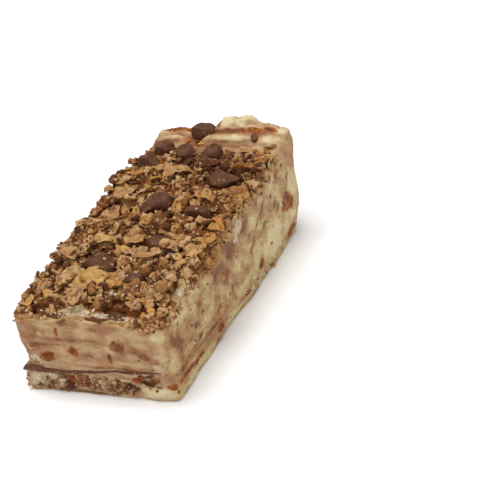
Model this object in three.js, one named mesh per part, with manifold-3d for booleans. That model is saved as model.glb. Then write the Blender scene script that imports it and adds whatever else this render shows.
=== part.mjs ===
// A hand-cut bar of marbled nut fudge. A crumbly base runs under the fudge, parted from it at the near end by
// a seam of chocolate, and a crust of crushed flakes, crumbs and chocolate pieces is pressed into the top.
// Millimetres, +Z up. The bar lies on its base: X runs across it, and Y along it from the thin near end to
// the thick far end. The origin is on the base plane, under the middle of the bar.

import * as THREE from "three";
import { mergeVertices } from "three/addons/utils/BufferGeometryUtils.js";
import Module from "manifold-3d";

const wasm = await Module();
wasm.setup();
const { lerp, smoothstep, degToRad } = THREE.MathUtils;

// Driving dimensions of the bar, and the gap that parts one piece from the next
const LENGTH = 105;
const WIDTH = 45;
const HEIGHT_NEAR = 23.3;
const HEIGHT_FAR = 32;
const NEAR_UNDERCUT = 1.2;
const FAR_UNDERCUT = 4.4;
const GAP = 0.3;

// Unevenness of the cut: waves of the side faces, end faces and top, and the bulge of the sides at the far end
const SIDE_WAVE = 0.32;
const END_WAVE = 0.4;
const TOP_WAVE = 0.33;
const FAR_BULGE = 0.8;

// The seam over the base: its mean height, its rise at the near end and how that grows to the right, and how thick
// it is on the left and right. It thins out to nothing halfway along the bar.
const SEAM_HEIGHT = 5.7;
const SEAM_RISE = 2.4;
const SEAM_TILT = 0.027;
const SEAM_WAVE = 0.35;
const SEAM_LEFT = 1.5;
const SEAM_RIGHT = 0.6;
const SEAM_END = -4;
const SEAM_FADE = 18;

// Steps in the cut faces: the base stands out under the seam, and the near left corner is worn and broken
const BASE_LIP = 0.3;
const CORNER_LIP = 1.2;
const CORNER_WORN = 1.2;
const NOTCH_DEPTH = 0.8;
const NOTCH_HEIGHT = 3.2;

// The bare raised lip at the far end of the top: from LIP_START to LIP_FULL along the bar, and its span across
const LIP_RISE = 5.2;
const LIP_LEAST = 0.15;
const LIP_START = 41;
const LIP_FULL = 50;
const LIP_LEFT = [-5, 1];
const LIP_RIGHT = [10, 22.5];
const LIP_DROP = 0.55;

// The crust on the top, which ends short of the far end
const CRUST_THICKNESS = 1.6;
const CRUST_CROWN = 0.4;
const CRUST_SLOPE = 0.5;
const CRUST_RELIEF = 1.1;
const CRUST_END = 36.5;
const CRUST_END_WAVE = 1.4;
const CRUST_RIM = 0.7;

// Loose pieces fused to the crust, the largest first
const FLAKES = { count: 72, first: 0, largest: 8, smallest: 3.6, make: flake };
const CRUMBS = { count: 52, first: 72, largest: 3, smallest: 1.6, make: crumb };
const FLAKE_SIDES = 6;
const FLAKE_THICKNESS = 0.9;
const FLAKE_CURL = 0.22;
const PIECE_TILT = 0.5;
const PIECE_PROUD = 0.6;
const PIECE_OVERHANG = 0.2;

// Grid cells of the layers, the width of the band along their edges, and how far the edges are worn
const CELLS_ACROSS = 10;
const CELLS_ALONG = 24;
const FUDGE_CELLS_UP = 6;
const BASE_CELLS_UP = 3;
const SEAM_CELLS_ALONG = 11;
const CRUST_CELLS_ACROSS = 12;
const CRUST_CELLS_ALONG = 26;
const EDGE_BAND = 1.3;
const EDGE_WEAR = 0.45;
const SEAM_EDGE_SHARE = 0.4;

// Chocolate pieces: place across and along the bar, length, width, how far they stand out of what they are
// pressed into, and turn in degrees. A boxy value of 0 is a round drop and 1 a square-cut chunk.
const CHOCOLATE = [
  { x: -5.7, y: 48.1, long: 7.6, wide: 5.0, proud: 3.0, turn: 8, boxy: 0.4 },
  { x: 1.7, y: 37.4, long: 6.2, wide: 5.8, proud: 2.8, turn: 20, boxy: 0.1 },
  { x: -6.2, y: 33.6, long: 5.6, wide: 5.0, proud: 2.4, turn: 70, boxy: 0.1 },
  { x: -15.7, y: 38.4, long: 5.8, wide: 4.8, proud: 2.4, turn: 10, boxy: 0.2 },
  { x: -15.7, y: 27.5, long: 7.4, wide: 5.4, proud: 2.0, turn: 35, boxy: 0.6 },
  { x: 13.1, y: 18.7, long: 9.0, wide: 6.6, proud: 2.0, turn: 25, boxy: 0.7 },
  { x: -2.2, y: 3.3, long: 13.2, wide: 5.8, proud: 2.0, turn: 43, boxy: 0.9 },
  { x: 11.8, y: -0.5, long: 7.4, wide: 4.8, proud: 1.8, turn: 12, boxy: 0.3 },
  { x: 6.7, y: -17.6, long: 9.6, wide: 5.0, proud: 1.8, turn: 4, boxy: 0.8 },
  { x: -5.6, y: -28.4, long: 11.6, wide: 7.0, proud: 1.2, turn: 155, boxy: 0.7 },
  { x: 6.8, y: -36.3, long: 6.0, wide: 4.4, proud: 1.6, turn: 14, boxy: 0.7 },
  { x: -14.2, y: -49.0, long: 6.6, wide: 4.6, proud: 1.2, turn: 15, boxy: 0.6 },
  { x: 7.3, y: -48.6, long: 9.0, wide: 4.6, proud: 0.9, turn: 176, boxy: 0.6 },
];
const CHOCOLATE_ROOT = 0.9;
const CHOCOLATE_UNEVEN = 0.1;

// Colours and finish of each kind of piece
const FUDGE_LOOK = { color: 0xd2bb8e, roughness: 0.6, metalness: 0 };
const BASE_LOOK = { color: 0xb0936c, roughness: 0.75, metalness: 0 };
const CRUST_LOOK = { color: 0xa97b48, roughness: 0.85, metalness: 0 };
const CHOCOLATE_LOOK = { color: 0x5e3f32, roughness: 0.5, metalness: 0 };

// A repeatable value from 0 to 1 for piece number n and draw number k
function draw(n, k) {
  const s = Math.sin(n * 12.9898 + k * 78.233) * 43758.5453;
  return s - Math.floor(s);
}

// The nth point of an even scatter over the unit square
function scatter(n) {
  return [(0.5 + n * 0.7548776662) % 1, (0.5 + n * 0.569840291) % 1];
}

// True for a grid coordinate on the outside of the grid
function outside(t) {
  return Math.abs(t) > 0.999;
}

// Height of the fudge's top face, with its slow waves and the raised lip at the far end
function topHeight(x, y) {
  const slope = lerp(HEIGHT_NEAR, HEIGHT_FAR, y / LENGTH + 0.5);
  const waves = TOP_WAVE * (Math.sin(0.21 * x + 0.09 * y) + Math.sin(0.13 * y - 0.17 * x + 1.4));
  const across = smoothstep(x, ...LIP_LEFT) * (1 - LIP_DROP * smoothstep(x, ...LIP_RIGHT));
  return slope + waves + LIP_RISE * smoothstep(y, LIP_START, LIP_FULL) * Math.max(LIP_LEAST, across);
}

// Height of the middle of the seam
function seamHeight(x, y) {
  const near = smoothstep(-y / LENGTH, 0, 0.5);
  const waves = Math.sin(0.19 * x + 0.11 * y) + Math.sin(0.27 * y - 0.1 * x);
  return SEAM_HEIGHT + SEAM_RISE * near * (1 + SEAM_TILT * x) + SEAM_WAVE * waves;
}

// Half the space between the base and the fudge: the seam with a gap on both sides, or one bare gap
function seamSpace(x, y) {
  const thickness = lerp(SEAM_RIGHT, SEAM_LEFT, smoothstep(-x, 0, 20));
  const fade = 1 - smoothstep(y, SEAM_END - SEAM_FADE / 2, SEAM_END + SEAM_FADE / 2);
  return GAP / 2 + ((thickness + GAP) / 2) * fade;
}

// Mean thickness of the crust, which thins towards the far end
function crustThickness(y) {
  const turn = (Math.PI * y) / LENGTH;
  return CRUST_THICKNESS + CRUST_CROWN * Math.cos(turn) - CRUST_SLOPE * Math.sin(turn);
}

// How far the near face steps in over the seam, and out under it, towards its left corner
function nearStep(u, z) {
  const over = z - SEAM_HEIGHT;
  const left = smoothstep(-u, 0.2, 0.95);
  const notch = Math.max(0, 1 - Math.abs(over / NOTCH_HEIGHT - 1));
  return left * (over < 0 ? -BASE_LIP : NOTCH_DEPTH * notch);
}

// A point of the bar from its place across (u) and along (v), each -1 to 1, and its height z
function barPoint(u, v, z) {
  const along = (v + 1) / 2;
  const level = Math.min(1, z / lerp(HEIGHT_NEAR, HEIGHT_FAR, along));
  const near = -LENGTH / 2 + NEAR_UNDERCUT * (1 - level) + nearStep(u, z) * smoothstep(-v, 0.7, 1);
  const far = LENGTH / 2 - FAR_UNDERCUT * (1 - level) ** 1.5;
  const y = lerp(near, far, along) + END_WAVE * v * Math.sin(0.25 * u * WIDTH + 0.3 * z);
  const cut = SIDE_WAVE * (Math.sin(0.1 * y + 0.3 * z) + 0.67 * Math.sin(0.24 * y - 0.35 * z + 1));
  const bulge = FAR_BULGE * smoothstep(v, 0.55, 1) * Math.sin(Math.PI * level);
  const lip = BASE_LIP * smoothstep(SEAM_HEIGHT - z, -0.5, 2) * smoothstep(-v, 0.2, 0.6);
  const nearLeft = smoothstep(-v, 0.85, 1) * smoothstep(-u, 0.5, 1);
  const seam = Math.max(0, 1 - Math.abs(z - SEAM_HEIGHT) / 1.8);
  const worn = Math.max(level, 1 - z / 2) ** 2;
  const corner = nearLeft * (CORNER_LIP * seam - CORNER_WORN * worn);
  return new THREE.Vector3(u * (WIDTH / 2 + cut + bulge + lip + corner), y, z);
}

// A geometry with positions only and its shared points merged, so that it closes
function closed(geometry) {
  geometry.deleteAttribute("normal");
  geometry.deleteAttribute("uv");
  return mergeVertices(geometry);
}

// Moves every point of a geometry by a function that changes it in place or returns a new one
function eachPoint(geometry, move) {
  const points = geometry.getAttribute("position");
  const p = new THREE.Vector3();
  for (let i = 0; i < points.count; i++) {
    p.fromBufferAttribute(points, i);
    const q = move(p, i) ?? p;
    points.setXYZ(i, q.x, q.y, q.z);
  }
  return geometry;
}

// A box of cells from -1 to 1 each way, with a narrow band along its upright faces
function unitGrid(across, along, up) {
  const band = (t, cells, size) => {
    const rim = 1 - 2 / cells;
    return outside(t) ? t : (t / rim) * (1 - (2 * EDGE_BAND) / size);
  };
  const grid = closed(new THREE.BoxGeometry(2, 2, 2, across, along, up));
  return eachPoint(grid, (p) => p.set(band(p.x, across, WIDTH), band(p.y, along, LENGTH), p.z));
}

// How far a grid point on an outer edge is drawn in, uneven from point to point as on a crumbly cut
function edgeWear(p, i) {
  const faces = outside(p.x) + outside(p.y) + outside(p.z);
  return faces > 1 ? EDGE_WEAR * (0.6 + 0.9 * draw(i, 3)) * (faces - 1) : 0;
}

// One layer of the bar, between the heights that floor and roof give for a place on the bar.
// Its upper edge is worn by the share that wornTop gives for a place along the bar, and its foot by wornFoot.
function layer(cellsUp, floor, roof, wornTop, wornFoot) {
  return eachPoint(unitGrid(CELLS_ACROSS, CELLS_ALONG, cellsUp), (p, i) => {
    const x = (p.x * WIDTH) / 2;
    const y = (p.y * LENGTH) / 2;
    const z = lerp(floor(x, y), roof(x, y), (p.z + 1) / 2);
    const share = p.z > 0.999 ? wornTop(y) : outside(p.z) ? wornFoot : 1;
    const wear = share * edgeWear(p, i);
    const q = barPoint(p.x, p.y, z);
    q.x -= p.x * wear;
    q.y -= outside(p.y) ? p.y * wear : 0;
    q.z -= p.z > 0.999 ? wear : 0;
    return q;
  });
}

// The chocolate seam, from the near end to where it has thinned out
function seamSheet() {
  return eachPoint(unitGrid(CELLS_ACROSS, SEAM_CELLS_ALONG, 1), (p) => {
    const x = (p.x * WIDTH) / 2;
    const y = lerp(-LENGTH / 2, SEAM_END, (p.y + 1) / 2);
    return barPoint(p.x, (2 * y) / LENGTH, seamHeight(x, y) + p.z * (seamSpace(x, y) - GAP));
  });
}

// The crust's own slab, lumpy on top and thinning out to an uneven end
function crustSlab() {
  return eachPoint(unitGrid(CRUST_CELLS_ACROSS, CRUST_CELLS_ALONG, 1), (p, i) => {
    const x = (p.x * WIDTH) / 2;
    const end = CRUST_END + CRUST_END_WAVE * (Math.sin(0.5 * x) + Math.sin(0.23 * x + 2));
    const y = lerp(-LENGTH / 2, end, (p.y + 1) / 2);
    const rim = outside(p.x) || outside(p.y) ? CRUST_RIM : 1;
    const thin = 1 - 0.6 * smoothstep(p.y, 0.8, 1);
    const thick = rim * thin * (crustThickness(y) + CRUST_RELIEF * (draw(i, 1) - 0.5));
    const wear = p.z > 0 ? edgeWear(p, i) : 0;
    const q = barPoint(p.x, (2 * y) / LENGTH, topHeight(x, y));
    q.x -= p.x * wear;
    q.y += p.y < -0.999 ? wear : 0;
    q.z += GAP + (p.z > 0 ? thick : 0);
    return q;
  });
}

// A crushed flake: a thin curled plate with an uneven outline
function flake(n, size) {
  const plate = new THREE.CylinderGeometry(size / 2, size / 2, FLAKE_THICKNESS, FLAKE_SIDES, 1);
  const curl = ((2 * FLAKE_CURL) / size) * (draw(n, 5) > 0.4 ? 1 : -1);
  return eachPoint(closed(plate.rotateX(Math.PI / 2)), (p) => {
    const side = Math.round(Math.atan2(p.y, p.x) * 4);
    const reach = 0.72 + 0.5 * draw(n, 10 + side);
    p.x *= reach;
    p.y *= reach * 0.8;
    p.z += curl * (p.x * p.x - p.y * p.y);
  });
}

// A crumb: a small angular grain
function crumb(n, size) {
  return eachPoint(closed(new THREE.IcosahedronGeometry(size / 2, 0)), (p, i) => {
    p.multiplyScalar(0.75 + 0.5 * draw(n * 13 + i, 7));
    p.z *= 0.8;
  });
}

// A chocolate piece, larger all round by grow: between a flattened ball and a square-cut block, with uneven
// corners. It is set through the crust, and its root sinks a little into the fudge.
function chocolate(piece, n, grow) {
  const cover = piece.y < CRUST_END - 1 ? crustThickness(piece.y) : 0;
  const high = piece.proud + cover + CHOCOLATE_ROOT;
  const half = new THREE.Vector3(piece.long, piece.wide, high).divideScalar(2).addScalar(grow);
  const block = eachPoint(closed(new THREE.BoxGeometry(2, 2, 2, 3, 3, 2)), (p, i) => {
    const round = Math.min(1, lerp(1 / p.length(), 0.88, 0.7 * piece.boxy));
    p.multiplyScalar(round * (1 + CHOCOLATE_UNEVEN * (draw(n * 31 + i, 2) - 0.5))).multiply(half);
  });
  block.rotateX(0.3 * piece.boxy * (draw(n, 4) - 0.5));
  block.rotateZ(degToRad(piece.turn));
  return block.translate(piece.x, piece.y, topHeight(piece.x, piece.y) - CHOCOLATE_ROOT + high / 2);
}

// A closed geometry as a solid for joining and cutting, and back
function solid(geometry) {
  const vertProperties = new Float32Array(geometry.getAttribute("position").array);
  const triVerts = new Uint32Array(geometry.index.array);
  return new wasm.Manifold(new wasm.Mesh({ numProp: 3, vertProperties, triVerts }));
}

function geometryOf(body) {
  const mesh = body.getMesh();
  const geometry = new THREE.BufferGeometry();
  geometry.setAttribute("position", new THREE.BufferAttribute(new Float32Array(mesh.vertProperties), 3));
  geometry.setIndex(new THREE.BufferAttribute(new Uint32Array(mesh.triVerts), 1));
  return geometry;
}

// A solid with the sockets cut out of it, without the loose scraps
function cutOut(body, sockets) {
  const cut = sockets.reduce((a, b) => a.subtract(b), body);
  return geometryOf(cut.decompose().reduce((a, b) => (a.volume() > b.volume() ? a : b)));
}

// True where a round piece of this size would run into a chocolate piece
function meetsChocolate(x, y, size) {
  return CHOCOLATE.some((c) => Math.hypot(c.x - x, c.y - y) < (size + (c.long + c.wide) / 2) * 0.46);
}

// Pieces that lie on the crust, sized from largest to smallest and spread evenly, clear of the chocolate
function pressedPieces({ count, first, largest, smallest, make }) {
  const pieces = [];
  for (let n = first; n < first + count; n++) {
    const [across, along] = scatter(n);
    const size = lerp(largest, smallest, (n - first) / count);
    const x = (across - 0.5) * (WIDTH - size + 2 * PIECE_OVERHANG * size);
    const y = lerp(-LENGTH / 2 + size / 2, CRUST_END - size / 2, along);
    if (meetsChocolate(x, y, size)) continue;
    const piece = make(n, size);
    piece.rotateX(PIECE_TILT * (2 * draw(n, 8) - 1));
    piece.rotateZ(2 * Math.PI * draw(n, 9));
    piece.translate(x, y, topHeight(x, y) + GAP + crustThickness(y) + PIECE_PROUD);
    pieces.push(solid(piece));
  }
  return pieces;
}

// The crust with its flakes and crumbs joined on, and a socket round each chocolate piece
function crust(sockets) {
  const pieces = [...pressedPieces(FLAKES), ...pressedPieces(CRUMBS)];
  return cutOut(pieces.reduce((a, b) => a.add(b), solid(crustSlab())), sockets);
}

// The fudge, whose top edge is worn only where it is bare
function fudge(sockets) {
  const floor = (x, y) => seamHeight(x, y) + seamSpace(x, y);
  const wornTop = (y) => (y > CRUST_END - 3 ? 1 : 0);
  return cutOut(solid(layer(FUDGE_CELLS_UP, floor, topHeight, wornTop, SEAM_EDGE_SHARE)), sockets);
}

// The crumbly base, flat underneath
function baseLayer() {
  const roof = (x, y) => seamHeight(x, y) - seamSpace(x, y);
  return layer(BASE_CELLS_UP, () => 0, roof, () => SEAM_EDGE_SHARE, 1);
}

function part(name, geometry, look) {
  geometry.computeVertexNormals();
  const mesh = new THREE.Mesh(geometry, new THREE.MeshStandardMaterial(look));
  mesh.name = name;
  return mesh;
}

const sockets = CHOCOLATE.map((piece, n) => solid(chocolate(piece, n, GAP)));
const bar = new THREE.Group();
bar.add(part("base_layer", baseLayer(), BASE_LOOK));
bar.add(part("chocolate_seam", seamSheet(), CHOCOLATE_LOOK));
bar.add(part("fudge", fudge(sockets), FUDGE_LOOK));
bar.add(part("topping", crust(sockets), CRUST_LOOK));
CHOCOLATE.forEach((piece, n) => {
  const name = `chocolate_${String(n + 1).padStart(2, "0")}`;
  bar.add(part(name, chocolate(piece, n, 0), CHOCOLATE_LOOK));
});

// The origin goes under the middle of the finished bar
const middle = new THREE.Box3().setFromObject(bar).getCenter(new THREE.Vector3());
bar.position.set(-middle.x, -middle.y, 0);

export default bar;
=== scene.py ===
"""Looks of a hand-cut bar of marbled nut fudge.

Cream and tan fudge lies on a crumbly base, with a chocolate seam between them at the near end. The top is
strewn with crushed golden flakes, nut crumb and milk chocolate. Lengths are in millimetres until a mesh is
made.
"""

import math
from types import SimpleNamespace

import bmesh
import bpy
import numpy as np
from mathutils import Matrix, Vector
from mathutils.bvhtree import BVHTree


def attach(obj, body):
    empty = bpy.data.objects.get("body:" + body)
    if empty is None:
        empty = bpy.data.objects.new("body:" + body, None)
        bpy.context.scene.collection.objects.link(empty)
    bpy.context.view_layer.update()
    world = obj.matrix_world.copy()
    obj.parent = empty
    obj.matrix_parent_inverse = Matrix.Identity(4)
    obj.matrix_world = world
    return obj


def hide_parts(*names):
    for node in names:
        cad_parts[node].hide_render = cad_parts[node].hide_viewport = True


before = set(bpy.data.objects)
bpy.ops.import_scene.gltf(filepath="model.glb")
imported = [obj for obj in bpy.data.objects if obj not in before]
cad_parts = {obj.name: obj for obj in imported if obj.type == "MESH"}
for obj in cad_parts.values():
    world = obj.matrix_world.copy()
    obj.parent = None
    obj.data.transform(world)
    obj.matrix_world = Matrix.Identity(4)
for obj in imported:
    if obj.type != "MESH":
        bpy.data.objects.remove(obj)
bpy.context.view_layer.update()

MM = 0.001
rng = np.random.default_rng(253)

# Camera: direction from the bar, distance, where the bar's middle lies in the picture, and lens
VIEW_AZIMUTH = math.radians(24.843)
VIEW_ELEVATION = math.radians(27.462)
VIEW_ROLL = math.radians(-8.688)
VIEW_DISTANCE = 414.5
VIEW_TARGET = Vector((0, 0, 15))
VIEW_ASIDE = -23.93
VIEW_ABOVE = -1.94
VIEW_LENS = 100.8

# Stage, in metres: the floor, the light all round, and the lights' place and power
FLOOR_HALF = 3.0
FLOOR_WHITE = (0.95, 0.95, 0.95, 1)
ALL_ROUND_STRENGTH = 0.45
LIGHT_SIZE = 0.5
LIGHTS = {
    "overhead": ((-0.12, -0.05, 0.75), 5.0),
    "front": ((0.1, -0.8, 0.4), 1.6),
    "right": ((0.8, 0.1, 0.42), 1.2),
}

# Tilt of the smears in the fudge, which lie flat below a height, and tilt of its marbling
SHEET_TILT = math.radians(36)
FLAT_BELOW = 8.0
MARBLE_TILT = math.radians(-30)

# Fineness of the meshes, and how far the layers grow before they are joined, to close the gaps between them
BLOCK_VOXEL = 0.45
SEAM_VOXEL = 0.4
BED_VOXEL = 0.46
CHOCOLATE_VOXEL = 0.36
LAYER_GROWTH = 0.24

# The seam's height over the base plane, as in the solids
BAR_LENGTH = 105
SEAM_HEIGHT = 5.7
SEAM_RISE = 2.4
SEAM_TILT = 0.027
SEAM_WAVE = 0.35

# The crumb bed: how far its top and its underside lie lower than in the solid
BED_SINK = 1.0
UNDERSIDE_SINK = 0.7

# The top: its extent, and where the strewn part ends
TOP_ACROSS = 22.6
TOP_NEAR = -52.4
STREWN_END = 39.2
NEAR_PART_END = -18

# Height grid that loose pieces rest on: extent, cell, height that it is measured from, and the lowest top
PILE_ACROSS = 25
PILE_ALONG = 55
PILE_CELL = 0.4
PILE_OVER = 60
LOWEST_TOP = 18


# Repeatable noise

def lattice(cell, seed):
    """A repeatable whole number below 65536 for each whole-numbered point."""
    h = cell[:, 0] * 374761393 + cell[:, 1] * 668265263 + cell[:, 2] * 1440662683 + seed * 974634777
    h = (h ^ (h >> 13)) * 1274126177 & 0xFFFFFFFF
    h = (h ^ (h >> 15)) * 2246822519 & 0xFFFFFFFF
    return (h ^ (h >> 16)) % 65536


STEPS = (-1, 0, 1)
SLOPES = np.array([(x, y, z) for x in STEPS for y in STEPS for z in STEPS if x or y or z], float)
SLOPES /= np.linalg.norm(SLOPES, axis=1)[:, None]


def noise(p, seed=0):
    """Smooth noise, about -1 to 1, at each point: blends the slopes of the eight lattice points round it."""
    cell = np.floor(p).astype(np.int64)
    f = p - cell
    blend = f * f * f * (f * (f * 6 - 15) + 10)
    total = np.zeros(len(p))
    for corner in np.ndindex(2, 2, 2):
        weight = np.prod(np.where(corner, blend, 1 - blend), axis=1)
        slope = SLOPES[lattice(cell + np.array(corner), seed) % len(SLOPES)]
        total += weight * ((f - np.array(corner)) * slope).sum(1)
    return 1.6 * total


def fractal(p, seed=0, octaves=4, gain=0.5):
    """Noise with finer and fainter noise added to it, about -1 to 1."""
    total = np.zeros(len(p))
    reach = 0.0
    for k in range(octaves):
        total += gain ** k * noise(p * 2.03 ** k + 17.3 * k, seed + 31 * k)
        reach += gain ** k
    return total / reach * 1.25


def cells(p, seed=0):
    """Distance from each point to the nearest of one seed point per unit cell, and that seed's own value."""
    home = np.floor(p).astype(np.int64)
    nearest = np.full(len(p), 9.0)
    value = np.zeros(len(p))
    for step in np.ndindex(3, 3, 3):
        cell = home + np.array(step) - 1
        spot = cell + np.stack([lattice(cell, seed + k) for k in (1, 2, 3)], 1) / 65536
        distance = np.linalg.norm(p - spot, axis=1)
        closer = distance < nearest
        nearest = np.where(closer, distance, nearest)
        value = np.where(closer, lattice(cell, seed + 4) / 65536, value)
    return nearest, value


def smoothstep(x, low, high):
    t = np.clip((x - low) / (high - low), 0, 1)
    return t * t * (3 - 2 * t)


def sheets(p, tilt=SHEET_TILT):
    """Points in the frame of the folded sheets: across the bar, along a sheet, and through the sheets."""
    c, s = np.cos(tilt), np.sin(tilt)
    return np.stack([p[:, 0], c * p[:, 1] + s * p[:, 2], c * p[:, 2] - s * p[:, 1]], 1)


def blots(p, spots, ragged=0.35, seed=0, core=0.7):
    """1 inside any of the uneven spots and 0 outside. The lower the core, the softer the spots fade out.
    A spot is x, y, z and its reach across, along and through the sheets."""
    mask = np.zeros(len(p))
    for k, (x, y, z, *reach) in enumerate(spots):
        centre = np.array([[x, y, z]])
        close = np.flatnonzero((np.abs(p - centre) < 2 * max(reach)).all(1))
        tilt = SHEET_TILT if z > FLAT_BELOW else 0.0
        d = (sheets(p[close], tilt) - sheets(centre, tilt)) / np.array(reach)
        d = np.sqrt((d * d).sum(1)) + ragged * fractal(d / 0.7 + 9.1 * k, seed + k, 3)
        mask[close] = np.maximum(mask[close], 1 - smoothstep(d, core, 1.15))
    return mask


def seam_height(x, y):
    """Height of the seam, which rises towards the near end and more so on its right."""
    near = smoothstep(-y / BAR_LENGTH, 0, 0.5)
    waves = np.sin(0.19 * x + 0.11 * y) + np.sin(0.27 * y - 0.1 * x)
    return SEAM_HEIGHT + SEAM_RISE * near * (1 + SEAM_TILT * x) + SEAM_WAVE * waves


# Meshes

def add_object(name, mesh):
    obj = bpy.data.objects.new(name, mesh)
    bpy.context.scene.collection.objects.link(obj)
    return obj


def mesh_object(name, points, faces, smooth=True):
    mesh = bpy.data.meshes.new(name)
    mesh.from_pydata((points * MM).tolist(), [], faces.tolist())
    mesh.polygons.foreach_set("use_smooth", np.full(len(faces), smooth))
    return add_object(name, mesh)


def vectors(values, field):
    """Three numbers for each point of a mesh."""
    flat = np.empty(len(values) * 3, np.float32)
    values.foreach_get(field, flat)
    return flat.reshape(-1, 3).astype(float)


def points_of(obj):
    return vectors(obj.data.vertices, "co") / MM


def normals_of(obj):
    return vectors(obj.data.vertex_normals, "vector")


def move_points(obj, points):
    obj.data.vertices.foreach_set("co", (points * MM).astype(np.float32).ravel())
    obj.data.update()


def give(obj, **masks):
    """Stores values on the points of a mesh for its material to read."""
    for name, values in masks.items():
        kind = "FLOAT_VECTOR" if values.ndim == 2 else "FLOAT"
        field = "vector" if values.ndim == 2 else "value"
        attribute = obj.data.attributes.new(name, kind, "POINT")
        attribute.data.foreach_set(field, values.astype(np.float32).ravel())


def relax(obj, rounds):
    """Smooths a mesh by drawing each point towards the middle of its neighbours."""
    points = points_of(obj)
    edges = np.empty(len(obj.data.edges) * 2, np.int32)
    obj.data.edges.foreach_get("vertices", edges)
    a, b = edges.reshape(-1, 2).T
    count = len(points)
    degree = np.maximum(np.bincount(edges, minlength=count), 1)[:, None]
    for _ in range(rounds):
        near = [np.bincount(a, points[b, k], count) + np.bincount(b, points[a, k], count) for k in range(3)]
        points += 0.5 * (np.stack(near, 1) / degree - points)
    move_points(obj, points)


def fine_copy(name, nodes, voxel, rounds, growth=0.0):
    """A finely and evenly meshed copy of CAD nodes, grown a little and joined, as a new object."""
    points, faces = [], []
    for node in nodes:
        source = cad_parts[node]
        start = sum(len(p) for p in points)
        points.append(points_of(source))
        faces += [[start + v for v in polygon.vertices] for polygon in source.data.polygons]
    mesh = bpy.data.meshes.new(name)
    mesh.from_pydata((np.concatenate(points) * MM).tolist(), [], faces)
    obj = add_object(name, mesh)
    obj.modifiers.new("weld", "WELD").merge_threshold = 1e-6
    grow = obj.modifiers.new("grow", "DISPLACE")
    grow.mid_level = 0
    grow.strength = growth * MM
    remesh = obj.modifiers.new("remesh", "REMESH")
    remesh.mode = "VOXEL"
    remesh.voxel_size = voxel * MM
    remesh.use_smooth_shade = True
    made = bpy.data.meshes.new_from_object(obj.evaluated_get(bpy.context.evaluated_depsgraph_get()))
    obj.modifiers.clear()
    obj.data = made
    made.name = name
    relax(obj, rounds)
    return obj


def ride(obj):
    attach(obj, "root")
    return obj


# Materials

def srgb(red, green, blue):
    """A colour given as it looks on a screen, 0 to 255, in the linear values that a shader takes."""
    def linear(c):
        c /= 255
        return c / 12.92 if c <= 0.04045 else ((c + 0.055) / 1.055) ** 2.4
    return (linear(red), linear(green), linear(blue), 1)


class Shader:
    """One material and its nodes. What is the same all over is set on the shader's own sockets."""

    def __init__(self, name, **constants):
        self.material = bpy.data.materials.new(name)
        self.material.use_nodes = True
        self.tree = self.material.node_tree
        self.surface = self.tree.nodes["Principled BSDF"]
        for socket, value in constants.items():
            name = socket.replace("_", " ").title().replace("Ior", "IOR")
            self.surface.inputs[name].default_value = value

    def node(self, kind, feeds, **settings):
        node = self.tree.nodes.new(kind)
        for name, value in settings.items():
            setattr(node, name, value)
        for key, value in feeds.items():
            self.feed(node.inputs[key], value)
        return node

    def feed(self, socket, value):
        if isinstance(value, bpy.types.NodeSocket):
            self.tree.links.new(value, socket)
        else:
            socket.default_value = value

    def stored(self, name, output="Fac"):
        return self.node("ShaderNodeAttribute", {}, attribute_name=name).outputs[output]

    def noise(self, size, detail=3.0, field=None, stretch=(1, 1, 1)):
        """Noise whose lumps are about size mm, in the object's frame or in a stored vector field in mm."""
        if field:
            place = self.stored(field, "Vector")
            scale = [s / size for s in stretch]
        else:
            place = self.node("ShaderNodeTexCoord", {}).outputs["Object"]
            scale = [s / (size * MM) for s in stretch]
        place = self.node("ShaderNodeMapping", {"Vector": place, "Scale": scale}).outputs["Vector"]
        feeds = {"Vector": place, "Scale": 1.0, "Detail": detail}
        return self.node("ShaderNodeTexNoise", feeds).outputs["Fac"]

    def maths(self, operation, a, b):
        return self.node("ShaderNodeMath", {0: a, 1: b}, operation=operation).outputs[0]

    def add(self, a, b):
        return self.maths("ADD", a, b)

    def times(self, a, b):
        return self.maths("MULTIPLY", a, b)

    def scaled(self, value, factor, offset=0.0):
        feeds = {0: value, 1: factor, 2: offset}
        return self.node("ShaderNodeMath", feeds, operation="MULTIPLY_ADD").outputs[0]

    def swing(self, value, reach):
        """A value from 0 to 1 as one that swings about 0, half the reach each way."""
        return self.scaled(value, reach, -0.5 * reach)

    def ramp(self, value, *stops):
        """Colours that blend along a value. A stop is its place and a colour as it looks on a screen."""
        node = self.node("ShaderNodeValToRGB", {"Fac": value})
        points = node.color_ramp.elements
        while len(points) < len(stops):
            points.new(0.5)
        for point, (place, colour) in zip(points, stops):
            point.position = place
            point.color = srgb(*colour)
        return node.outputs["Color"]

    def edge(self, value, low, high):
        """0 below low and 1 above high, smoothly."""
        feeds = {"Value": value, "From Min": low, "From Max": high}
        return self.node("ShaderNodeMapRange", feeds, interpolation_type="SMOOTHSTEP").outputs[0]

    def patch(self, name, ragged, low, high):
        """1 where a stored mask is high, with a ragged edge."""
        return self.edge(self.add(self.stored(name), ragged), low, high)

    def mix(self, share, a, b):
        return self.node("ShaderNodeMix", {0: share, 6: a, 7: b}, data_type="RGBA").outputs[2]

    def colour(self, value):
        self.feed(self.surface.inputs["Base Color"], value)

    def roughness(self, value):
        self.feed(self.surface.inputs["Roughness"], value)

    def bump(self, height, distance, strength=0.6):
        feeds = {"Height": height, "Distance": distance * MM, "Strength": strength}
        self.feed(self.surface.inputs["Normal"], self.node("ShaderNodeBump", feeds).outputs[0])

    def paint(self, obj):
        obj.data.materials.clear()
        obj.data.materials.append(self.material)


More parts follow.
